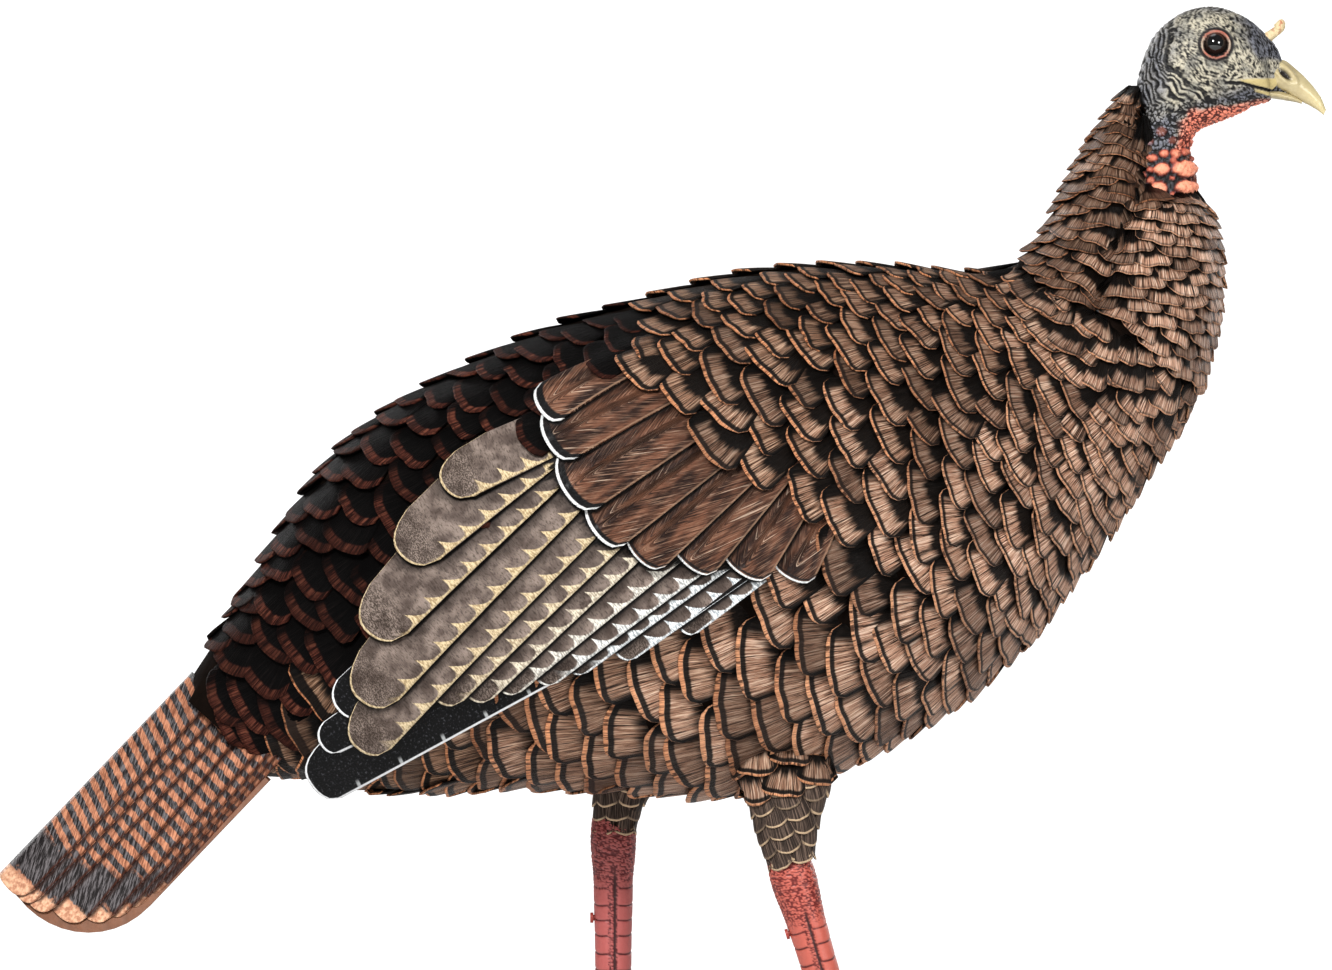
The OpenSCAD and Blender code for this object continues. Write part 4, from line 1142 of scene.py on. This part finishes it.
def head():
    rows = [np.array(r, float) for r in HEAD_ROWS]
    n, m = 250, 168
    ts = np.linspace(0, len(rows) - 1, n)
    ang = np.linspace(0, 2 * math.pi, m, endpoint=False)
    p = np.zeros((n, m, 3))
    for i, t in enumerate(ts):
        ux, uz, lx, lz, half = catmull(rows, t)
        mid, up = np.array([(ux + lx) / 2, 0, (uz + lz) / 2]), np.array([(ux - lx) / 2, 0, (uz - lz) / 2])
        p[i] = mid + up * np.cos(ang)[:, None] + np.array([0, -half, 0]) * np.sin(ang)[:, None]
    ds = np.gradient(p, axis=0)
    dk = np.roll(p, -1, 1) - np.roll(p, 1, 1)
    nrm = unit(np.cross(dk, ds))
    centre = p.mean(1, keepdims=True)
    nrm *= np.sign(((p - centre) * nrm).sum(-1, keepdims=True))
    x, y, z = p[..., 0], p[..., 1], p[..., 2]
    flat = p.reshape(-1, 3)
    warp = np.array([noise.noise_vector((a * 0.09, abs(b) * 0.09, c * 0.09)) for a, b, c in flat]).reshape(n, m, 3)
    rapid = np.array([noise.noise_vector((a * 0.28, abs(b) * 0.28, c * 0.28)) for a, b, c in flat]).reshape(n, m, 3)
    # folds that run round behind the cheek
    rx, rz = x - 284, z - 531
    radius = np.hypot(rx, rz) + warp[..., 0] * 5.0 + rapid[..., 1] * 1.6
    bearing = np.degrees(np.arctan2(rz, rx)) % 360
    arc = ramp(bearing, 150, 190) * (1 - ramp(bearing, 272, 300))
    nape = ramp(radius, 30, 37) * arc * ramp(z, 486, 498)
    cheek = ramp(radius, 9, 14) * np.maximum(arc, ramp(bearing, 30, 60) * (1 - ramp(bearing, 150, 190))) * (1 - nape)
    folds = np.cos(radius * 2 * math.pi / (2.0 + 0.5 * ramp(radius, 28, 34))) * (0.72 + 0.5 * rapid[..., 0])
    # fine wandering wrinkles
    q = flat + warp.reshape(-1, 3) * 3.0 + rapid.reshape(-1, 3) * 1.2
    fine = ridged(q * np.array([1.0, 1.0, 0.7]), 0.62, 3.0).reshape(n, m)
    grain = ridged(q, 1.25, 9.0).reshape(n, m)
    cells = np.array([noise.voronoi((a * 0.46, abs(b) * 0.46, c * 0.46))[0][:2] for a, b, c in q]).reshape(n, m, 2)
    bead = np.clip((cells[..., 1] - cells[..., 0]) * 2.4, 0, 1)
    neck = 1 - ramp(z + (x - 250) * 0.35, 480, 490)
    wrinkle = fine * 0.7 + grain * 0.3
    relief = (wrinkle - 0.5) * 1.0 * (1 - 0.8 * nape - 0.25 * cheek) + folds * (0.5 * nape + 0.27 * cheek)
    warty = ramp(503 + (x - 262) * 0.1 - z + rapid[..., 2] * 3, 0, 7)
    relief = relief * (1 - warty) + (bead * 0.95 - 0.4) * warty
    bump, glow = np.zeros((n, m)), np.zeros((n, m))
    for bx, bz, rx1, rz1, high in BUMPS:
        d = np.hypot((x - bx) / rx1, (z - bz) / rz1) * (1 + 0.12 * warp[..., 1] + 0.22 * rapid[..., 2])
        k = np.sqrt(np.maximum(1 - np.minimum(d, 1) ** 2.6, 0))
        bump = np.maximum(bump, k * high)
        glow = np.maximum(glow, ramp(1.12 - d, 0.0, 0.22) * (1 - 0.7 * float(np.clip((bz - 475) / 4, 0, 1))))
    # eye: socket, lid and the furrow round it
    side = np.abs(y) > 6
    r = np.hypot(x - EYE[0], (z - EYE[1]) * 1.04)
    lid = np.exp(-((r - 6.9) / 0.55) ** 2) * side
    furrow = np.exp(-((r - 8.1) / 0.55) ** 2) * side
    socket = (1 - ramp(r, 5.9, 6.6)) * side
    calm = ramp(r, 8.2, 11) * side + (1 - side)
    relief = relief * calm + 1.0 * lid - 0.7 * furrow - 3.4 * socket
    # gape: a pale ridge running back from the bill over a dark furrow
    gape_top = 510.5 + (x - 288) * 0.04
    gape_low = np.interp(x, [288, 296.7, 305, 313.6], [509.7, 507.4, 505.4, 502])
    in_gape = ramp(x, 286.5, 289) * ramp(z, gape_low - 0.3, gape_low + 0.2) * (1 - ramp(z, gape_top - 0.2, gape_top + 0.4)) * side
    mouth = np.exp(-((z - gape_low + 0.9) / 0.6) ** 2) * ramp(x, 279, 284) * side
    low_lip = ramp(x, 294.5, 296.5) * ramp(z, gape_low - 3.6, gape_low - 3.1) * (1 - ramp(z, gape_low - 1.9, gape_low - 1.5)) * side
    relief = relief * (1 - in_gape) + 0.7 * in_gape - 0.9 * mouth + 0.4 * low_lip
    high = relief + bump
    p2 = p + nrm * high[..., None]
    # The skin is painted darker in its furrows and paler on its ridges from this: painted shade and painted highlight.
    relief_shade = np.clip(0.5 + (relief - 0.02) * 1.05, 0, 1)
    # colour masks
    chin = ramp(498.5 + (x - 268) * 0.12 - z + warp[..., 1] * 2.5, 0, 5) * ramp(x, 258, 264)
    throat = ramp(x + warp[..., 0] * 4, 254, 261) * (1 - ramp(z, 488, 496)) * ramp(z, 470, 476)
    red = np.maximum(chin, throat)
    crown = ramp(x + (z - 530) * 0.45 + warp[..., 2] * 4, 289, 295) * ramp(z + warp[..., 1] * 3, 517, 522)
    crown = np.maximum(crown, 0.7 * ramp(z + warp[..., 0] * 3, 540, 546))
    back = ramp(252 + (z - 505) * 0.12 - x + warp[..., 2] * 4, -4, 6)
    low = (1 - ramp(z - (x - 262) * 0.35, 493, 503)) * (1 - red)
    dark = np.clip(np.maximum(np.maximum(crown, back * 0.8), low), 0, 1)
    verts = np.concatenate([p2.reshape(-1, 3), [p2[0].mean(0)], [p2[-1].mean(0)]])

    def pack(*cols):
        a = np.stack([c.ravel() for c in cols], -1)
        return np.concatenate([a, a[:1], a[-1:]])

    # hc.x paints near black: the mouth furrow and the eye socket as painted shade, the black ring round the eye, and
    # painted shade in the gaps between the bumps low on the neck.
    attrs = {"ha": pack(relief_shade, red, dark), "hb": pack(np.maximum(in_gape, low_lip), np.clip(lid * 1.3, 0, 1) * (0.25 + 0.75 * ramp(np.abs(z - EYE[1]), 1.5, 5)), glow),
             "hc": pack(np.clip(mouth + furrow * 0.9 + socket + 0.75 * (1 - glow) * ramp(477 - z, 0, 4), 0, 1), bump / 2.6, grain)}
    faces = ring_faces(n, m)
    solid_piece("head_skin", verts, faces, head_material(), "head", ("head_shell",), attrs)


def head_material():
    g = Graph("head_skin")
    ha, hb, hc = g.attr("ha"), g.attr("hb"), g.attr("hc")
    speck = g.noise(g.coords(), 900.0, 3.0, 0.6)
    blotch = g.noise(g.coords(), 120.0, 3.0)
    # ha.x paints the grey, black and orange skin darker in the furrows and paler on the ridges: painted shade and
    # painted highlight.
    grey = g.mix(g.step(ha[0], 0.25, 0.72), srgb(24, 23, 23), srgb(188, 181, 162))
    grey = g.mix(g.step(blotch, 0.45, 0.65), grey, g.mix(g.step(ha[0], 0.2, 0.8), srgb(26, 25, 27), srgb(152, 149, 138)))
    black = g.mix(g.step(ha[0], 0.36, 0.8), srgb(14, 14, 18), srgb(116, 118, 128))
    base = g.mix(g.math("MULTIPLY", ha[2], 0.95), grey, black)
    orange = g.mix(g.step(ha[0], 0.3, 0.62), srgb(96, 42, 36), srgb(236, 146, 122))
    base = g.mix(g.math("MULTIPLY", ha[1], g.step(g.math("ADD", blotch, ha[1]), 0.7, 1.15)), base, orange)
    base = g.mix(g.math("MULTIPLY", g.step(speck, 0.48, 0.36), 0.5), base, srgb(38, 34, 32))
    # Caruncles paler towards the top of each bump: painted highlight.
    bump = g.mix(g.step(hc[1], 0.1, 0.8), srgb(150, 64, 50), srgb(244, 166, 136))
    bump = g.mix(g.math("MULTIPLY", g.step(speck, 0.46, 0.34), 0.5), bump, srgb(150, 66, 50))
    base = g.mix(hb[2], base, bump)
    base = g.mix(hb[0], base, srgb(190, 174, 126))
    base = g.mix(hb[1], base, srgb(176, 98, 80))
    base = g.mix(hc[0], base, srgb(20, 16, 15))
    return g.finish(base, 0.42, g.bump(g.math("ADD", speck, g.math("MULTIPLY", hc[2], 0.6)), 0.0005, 0.6), 0.3)


BILL_ROWS = [(299, 517, 305, 506, 6.6), (303.6, 519.4, 309.0, 505.0, 8.2), (306.6, 520.8, 311.2, 504.2, 8.0),
             (311, 520.0, 313.2, 502.8, 6.9), (315.6, 516.4, 315.6, 501.4, 5.5), (320.5, 512, 319.2, 499.6, 4.6),
             (325, 507, 323, 497.6, 3.6), (328.8, 501.6, 326.8, 495.4, 2.4), (331.2, 495.6, 330.0, 492.9, 1.0)]
LOWER_ROWS = [(295, 507, 296, 502.4, 8.6), (303, 506.0, 303.6, 501.3, 7.2), (310, 504.6, 310, 500.3, 5.4),
              (315.6, 502.4, 315.2, 499.4, 3.6), (319.4, 500.2, 319, 498.5, 1.6)]


def horn_loft(name, rows, node, nostril):
    rows = [np.array(r, float) for r in rows]
    n, m = 90, 72
    ang = np.linspace(0, 2 * math.pi, m, endpoint=False)
    p = np.zeros((n, m, 3))
    for i, t in enumerate(np.linspace(0, len(rows) - 1, n)):
        ux, uz, lx, lz, half = catmull(rows, t)
        mid, up = np.array([(ux + lx) / 2, 0, (uz + lz) / 2]), np.array([(ux - lx) / 2, 0, (uz - lz) / 2])
        c, s = np.cos(ang), np.sin(ang)
        wide = half * (1 - 0.35 * np.clip(c, 0, 1) ** 1.5)
        p[i] = mid + up * (np.sign(c) * np.abs(c) ** 0.9)[:, None] + np.array([0, -1, 0]) * (s * wide)[:, None]
    nrm = unit(np.cross(np.roll(p, -1, 1) - np.roll(p, 1, 1), np.gradient(p, axis=0)))
    nrm *= np.sign(((p - p.mean(1, keepdims=True)) * nrm).sum(-1, keepdims=True))
    x, y, z = p[..., 0], p[..., 1], p[..., 2]
    hole = np.zeros((n, m))
    high = np.array([noise.noise((a * 0.5, b * 0.5, c * 0.5)) for a, b, c in p.reshape(-1, 3)]).reshape(n, m) * 0.12
    if nostril:
        along = ((x - 310.6) * 0.72 - (z - 513.4) * 0.70)
        away = ((x - 310.6) * 0.70 + (z - 513.4) * 0.72)
        d = np.hypot(along / 4.3, away / 1.75)
        hole = (1 - ramp(d, 0.75, 1.15)) * (np.abs(y) > 1.5)
        sheath = np.exp(-((d - 1.7) / 0.5) ** 2) * (np.abs(y) > 1.5)
        high = high + 0.7 * sheath - 1.5 * hole
    p = p + nrm * high[..., None]
    verts = np.concatenate([p.reshape(-1, 3), [p[0].mean(0)], [p[-1].mean(0)]])
    a = np.stack([hole.ravel(), ((x - 300) / 30).ravel(), ((z - 495) / 25).ravel()], -1)
    a = np.concatenate([a, a[:1], a[-1:]])
    solid_piece(name, verts, ring_faces(n, m), BILL, "head", (node,), {"ha": a})


def bill_material():
    g = Graph("bill_horn")
    ha = g.attr("ha")
    n = g.noise(g.coords(), 260.0, 3.0)
    base = g.mix(n, srgb(164, 149, 112), srgb(196, 184, 148))
    base = g.mix(g.step(ha[1], 0.5, 1.0), base, srgb(200, 187, 146))
    # Near black in the nostril: painted shade in the opening.
    base = g.mix(ha[0], base, srgb(26, 20, 14))
    return g.finish(base, 0.35, g.bump(n, 0.0003, 0.4), 0.5, 0.15, 0.3)


BILL = bill_material()


def snood():
    spine = np.array([(301.5, 531.3, 2.8), (304.2, 533.4, 2.4), (306.4, 535.0, 2.4), (307.9, 537.0, 2.8),
                      (308.6, 538.8, 2.3), (309.0, 540.2, 1.4), (309.2, 540.9, 0.3)])
    n, m = 40, 28
    verts = []
    for i, t in enumerate(np.linspace(0, len(spine) - 1, n)):
        x, z, r = catmull(list(spine), t)
        x2, z2, _ = catmull(list(spine), min(t + 0.1, len(spine) - 1.001))
        x1, z1, _ = catmull(list(spine), max(t - 0.1, 0))
        d = unit(np.array([x2 - x1, z2 - z1]))
        for a in np.linspace(0, 2 * math.pi, m, endpoint=False):
            k = r * (1 + 0.16 * noise.noise((x * 0.9, math.cos(a) * 1.4, z * 0.9 + math.sin(a))))
            verts.append((x - d[1] * k * math.cos(a), k * math.sin(a), z + d[0] * k * math.cos(a)))
    verts = np.array(verts)
    verts = np.concatenate([verts, [verts[:m].mean(0)], [verts[-m:].mean(0)]])
    g = Graph("snood_skin")
    nse = g.noise(g.coords(), 420.0, 3.0)
    base = g.mix(g.step(nse, 0.3, 0.46), srgb(178, 124, 98), srgb(204, 188, 152))
    mat = g.finish(base, 0.5, g.bump(nse, 0.0005, 0.6), 0.2)
    solid_piece("snood_skin", verts, ring_faces(n, m), mat, "head", ("snood",))


def eye_material():
    g = Graph("glass_eye")
    ha = g.attr("ha")
    base = g.mix(g.step(ha[0], 0.62, 0.72), srgb(8, 7, 7), srgb(38, 24, 18))
    return g.finish(base, 0.04, None, 0.5, 1.0, 0.02)


def eyes():
    mat = eye_material()
    for side, node in ((-1, "right_eye"), (1, "left_eye")):
        n, m = 26, 48
        verts, a = [], []
        for i in range(n):
            t = math.pi * (i + 0.5) / n
            for b in np.linspace(0, 2 * math.pi, m, endpoint=False):
                r = 6.45 + 0.35 * max(0, math.cos(t)) ** 6
                verts.append((275.5 + r * math.sin(t) * math.cos(b), side * (13.2 + r * math.cos(t)),
                              528.5 + r * math.sin(t) * math.sin(b) * side * -1))
                a.append((math.sin(t), 0, 0))
        verts = np.array(verts)
        verts = np.concatenate([verts, [verts[:m].mean(0)], [verts[-m:].mean(0)]])
        a = np.array(a + [a[0], a[-1]])
        solid_piece(f"{node}_glass", verts, ring_faces(n, m), mat, "head", (node,), {"ha": a})


# ---------------------------------------------------------------- legs

LEGS = {"right": (97.0, -46.0, -0.284, 0.959, 123.0), "left": (-26.0, 46.0, 0.0, 1.0, 137.0)}
THIGHS = {"left": [(193, 1, 14, 9), (178, 3, 16, 13), (160, 7, 17, 15), (148, 3, 12.5, 12), (134, 0.5, 9.8, 9.8)],
          "right": [(196, 3, 16, 9), (178, 6, 20, 13), (160, 11, 21.5, 13), (141, 5, 16, 13.5), (124, 1.5, 11, 11)]}
SKIRT_FROM = {"left": 162.0, "right": 160.0}


def leg_material(dull):
    # With dull set, the far leg's copy: a little darker as painted shade, and pinker.
    g = Graph("leg_skin_shaded" if dull else "leg_skin")
    ha = g.attr("ha")
    n = g.noise(g.coords(), 700.0, 3.0, 0.6)
    low = srgb(98, 28, 32) if dull else srgb(104, 30, 27)
    high = srgb(176, 96, 92) if dull else srgb(184, 98, 84)
    # ha.x runs low in the gaps between scales and granules, ha.y in the grooves and between the scutes: the darker
    # colour there is painted shade.
    base = g.mix(g.step(g.math("MULTIPLY_ADD", n, 0.3, ha[0]), 0.35, 0.95), low, high)
    base = g.mix(ha[1], base, srgb(44, 14, 14))
    return g.finish(base, 0.42, g.bump(n, 0.0005, 0.6), 0.5)


def shank(side):
    fx, fy, lean, rise, hock = LEGS[side]
    prof = np.array([(2, 9.0), (14, 9.4), (45, 8.8), (80, 9.1), (hock - 26, 10.0), (hock - 14, 11.3), (hock - 6, 11.7), (hock + 3, 10.6)])
    n, m = 260, 72
    a_s = np.linspace(9.2, hock + 3, n)
    ang = np.linspace(0, 2 * math.pi, m, endpoint=False)
    radius = np.interp(a_s, prof[:, 0], prof[:, 1])
    radius = np.convolve(np.pad(radius, 9, mode="edge"), np.ones(19) / 19, mode="valid")
    ax = np.array([lean, 0, rise])
    fwd = np.array([rise, 0, -lean])
    A, T = np.meshgrid(a_s, ang, indexing="ij")
    # granules: nearest-cell distance on the skin
    px, py = T * 9.5, A
    seeds = np.stack([T.ravel() * 9.5, A.ravel(), np.zeros(T.size)], -1)
    cell = np.array([noise.voronoi((9.0 * math.cos(t) * 0.62, 9.0 * math.sin(t) * 0.62, a * 0.62))[0][:2]
                     for t, a in zip(T.ravel(), A.ravel())]).reshape(n, m, 2)
    edge = np.clip((cell[..., 1] - cell[..., 0]) * 3.0, 0, 1)
    front = ramp(np.cos(T), 0.15, 0.35)
    rear = ramp(-np.cos(T), 0.2, 0.4)
    top = ramp(A, hock - 40, hock - 22)
    wave = 0.5 * np.sin(T * 3) + 0.6 * np.sin(A * 0.21)
    step = ((A + wave + np.abs(np.sin(T)) * 2.0) / 8.2) % 1.0
    scute = np.clip(np.minimum(step, 1 - step) * 8.2 / 0.75, 0, 1)
    plated = np.clip(front + rear, 0, 1) * (1 - top)
    height = edge * 0.42 * (1 - plated) + scute * 0.5 * plated
    groove = np.exp(-((np.cos(T) - 0.10) / 0.07) ** 2) * (1 - ramp(A, hock - 30, hock - 20))
    groove2 = np.exp(-((np.cos(T) + 0.18) / 0.05) ** 2) * (1 - ramp(A, hock - 40, hock - 28)) * 0.5
    height = height - 1.0 * groove - 0.5 * groove2
    rad = radius[:, None] + height - 0.35
    pos = (np.array([fx, fy, 0]) + A[..., None] * ax + (rad * np.cos(T))[..., None] * fwd
           + (rad * np.sin(T))[..., None] * np.array([0, -1, 0]))
    verts = np.concatenate([pos.reshape(-1, 3), [pos[0].mean(0)], [pos[-1].mean(0)]])
    # cav: high on scales and granules, low in the gaps between them, where the skin gets painted shade.
    cav = np.clip((edge * (1 - plated) + scute * plated), 0, 1) * (1 - 0.8 * groove)
    att = np.stack([cav.ravel(), np.clip(groove + groove2 * 0.6 + (1 - scute) * plated * 0.5, 0, 1).ravel(), front.ravel()], -1)
    att = np.concatenate([att, att[:1], att[-1:]])
    solid_piece(f"{side}_shank_skin", verts, ring_faces(n, m), LEG_SKIN[side], "body", (f"{side}_shank",), {"ha": att})


def thigh(side):
    fx, fy, lean, rise, hock = LEGS[side]
    rows = [np.array(r, float) for r in THIGHS[side]]
    ax, fwd = np.array([lean, 0, rise]), np.array([rise, 0, -lean])
    n, m = 40, 72
    grid = np.zeros((n, m + 1, 3))
    ang = np.linspace(0, 2 * math.pi, m + 1)
    for i, t in enumerate(np.linspace(0, len(rows) - 1, n)):
        a, shift, hl, hw = catmull(rows, t)
        grid[i] = (np.array([fx, fy, 0]) + a * ax + (shift + hl * np.cos(ang))[:, None] * fwd
                   + (hw * np.sin(ang))[:, None] * np.array([0, -1, 0]))
    verts = grid[:, :m].reshape(-1, 3)
    verts = np.concatenate([verts, [grid[0, :m].mean(0)], [grid[-1, :m].mean(0)]])
    solid_piece(f"{side}_thigh_core", verts, ring_faces(n, m), UNDER, "body", (f"{side}_thigh",))
    wide = np.concatenate([grid[:, -12:-1], grid[:, :], grid[:, 1:12]], 1)
    tree = grid_tree(wide)
    plates, skirt = Plates(), Plates()
    low, high = rows[-1][0], SKIRT_FROM[side] + 4
    count = int((high - low - 4) / 7.0)
    for k in range(count + 1):
        a = low - 2.5 + k * 7.0
        t = np.interp(a, [r[0] for r in rows][::-1], list(range(len(rows)))[::-1])
        ra, shift, hl, hw = catmull(rows, t)
        around = max(6, int(round(math.pi * (hl + hw) / 12.0)))
        for j in range(around):
            th = 2 * math.pi * (j + 0.5 * (k % 2)) / around + 0.1 * (rng.random() - 0.5)
            p = np.array([fx, fy, 0]) + a * ax + (shift + hl * math.cos(th)) * fwd + hw * math.sin(th) * np.array([0, -1, 0])
            nrm = unit(fwd * math.cos(th) / hl - np.array([0, 1, 0]) * math.sin(th) / hw)
            flow = unit(-ax - (-ax @ nrm) * nrm)
            fan_feather(plates, tree, p, flow, nrm, 17.5, 7.0, 16.5, 0.5, float(0.35 + 0.65 * (rng.random() > 0.35)),
                        0.2, lift=1.5, pitch=0.12, roll=0.02, thick=0.9, seed=rng.random(), curve=(0.2, 0.2), root=0.5, jitter=0.5)
    plates.piece(f"{side}_thigh_feathers", THIGH, "body", "thigh_plumage")
    for k in range(3):
        for j in range(7):
            th = 2 * math.pi * (j + 0.5 * (k % 2)) / 7 + 0.16 * (rng.random() - 0.5)
            a = SKIRT_FROM[side] - 3 + k * 14
            t = np.interp(a, [r[0] for r in rows][::-1], list(range(len(rows)))[::-1])
            ra, shift, hl, hw = catmull(rows, t)
            p = np.array([fx, fy, 0]) + a * ax + (shift + hl * math.cos(th)) * fwd + hw * math.sin(th) * np.array([0, -1, 0])
            nrm = unit(fwd * math.cos(th) / hl - np.array([0, 1, 0]) * math.sin(th) / hw)
            flow = unit(-ax - 0.45 * fwd)
            flow = unit(flow - (flow @ nrm) * nrm)
            fan_feather(skirt, tree, p, flow, nrm, 28, 15, 25, 1.7, 1.3, float(0.25 + 0.3 * rng.random()), lift=2.4,
                        pitch=0.13, roll=0.05, thick=1.4, seed=rng.random(), jitter=1.0)
    skirt.piece(f"{side}_thigh_skirt", CONTOUR, "body", "moulded_plumage")


LEG_SKIN = {"right": leg_material(False), "left": leg_material(True)}


def plain(name, colour, rough, metallic=0.0, scale=300.0, spread=0.25, bump=0.0003):
    g = Graph(name)
    n = g.noise(g.coords(), scale, 4.0)
    dark = tuple(c * (1 - spread) for c in colour)
    g.bsdf.inputs["Metallic"].default_value = metallic
    return g.finish(g.mix(n, dark, colour), rough, g.bump(n, bump, 0.5))


def fittings():
    black = plain("black_nylon", srgb(34, 34, 36), 0.5)
    rubber = plain("rubber", srgb(20, 20, 20), 0.75)
    iron = plain("cast_iron", srgb(70, 66, 64), 0.6, 0.8, 500)
    alu = plain("aluminium", srgb(190, 192, 196), 0.32, 1.0, 900, 0.1, 0.0001)
    steel = plain("steel", srgb(150, 150, 154), 0.28, 1.0, 900, 0.15, 0.0001)
    g = Graph("foot_skin")
    cells = g.voronoi(g.coords(), 420.0, "DISTANCE_TO_EDGE")
    n = g.noise(g.coords(), 500.0, 3.0)
    # Scales pale in the middle and dark at their borders: painted shade between the scales.
    base = g.mix(g.step(g.math("ADD", cells, g.math("MULTIPLY", n, 0.08)), 0.02, 0.16), srgb(116, 36, 32), srgb(224, 112, 94))
    foot = g.finish(base, 0.45, g.bump(g.step(cells, 0.0, 0.12), 0.0006, 0.9), 0.5)
    tail_core = plain("tail_core", srgb(136, 88, 58), 0.5, 0.0, 160, 0.6, 0.0006)
    painted = plain("painted_steel", srgb(168, 74, 64), 0.5)
    kinds = {"breast_ballast": iron, "wing_rivets": alu, "tail_socket": black, "tail_screw": steel, "neck_collar": black,
             "neck_spigot": black, "neck_o_ring": rubber, "tail_fan": tail_core}
    for side in ("left", "right"):
        kinds |= {f"{side}_leg_socket": black, f"{side}_leg_tube": alu, f"{side}_foot": foot, f"{side}_stake_bush": black,
                  f"{side}_stake": steel, f"{side}_stake_stud": painted}
    for name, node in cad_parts.items():
        mat = kinds.get(name, UNDER)
        node.data.materials.clear()
        node.data.materials.append(mat)


def rivets():
    """Flush rivets that lie under the plumage."""
    verts, faces = [], []
    for side in (-1, 1):
        for x, z in ((88, 343), (20, 330), (-40, 290)):
            pts, nrm = wing_surface(np.array([[x, z]], float))
            n = nrm[0]
            c = pts[0] - n * 4
            a = unit(np.cross(n, [0, 0, 1.0]))
            b = np.cross(n, a)
            start = len(verts)
            prof = [(2.4, -7), (2.4, -1.2), (4.8, -1.2), (4.6, -0.4), (3.2, 0.1), (1.2, 0.35)]
            m = 24
            for r, h in prof:
                for t in np.linspace(0, 2 * math.pi, m, endpoint=False):
                    q = c + n * h + (a * math.cos(t) + b * math.sin(t)) * r
                    verts.append(q * np.array([1, -side, 1]))
            verts.append((c - n * 7) * np.array([1, -side, 1]))
            verts.append((c + n * 0.4) * np.array([1, -side, 1]))
            k = ring_faces(len(prof), m)
            faces += [tuple(i + start for i in f) for f in k]
    alu = plain("rivet_aluminium", srgb(190, 192, 196), 0.35, 1.0, 900, 0.1, 0.0001)
    solid_piece("flush_rivets", np.array(verts), faces, alu, "body", ("wing_rivets",))


SEAM_AT, SEAM_AXIS = np.array([223.0, 0, 388.5]), np.array([0.5770317, 0, 0.8167218])
body_feathers()
neck_feathers()
closed_shell("body_under", torso_grid, 1.6, UNDER, "body", ("body_shell", "left_wing", "right_wing"))
closed_shell("neck_under", neck_base, 1.2, UNDER, "head", ("neck_shell",))
wings()
rivets()
tail()
head()
horn_loft("upper_bill_horn", BILL_ROWS, "upper_bill", True)
horn_loft("lower_bill_horn", LOWER_ROWS, "lower_bill", False)
snood()
eyes()
for leg in LEGS:
    shank(leg)
    thigh(leg)
fittings()
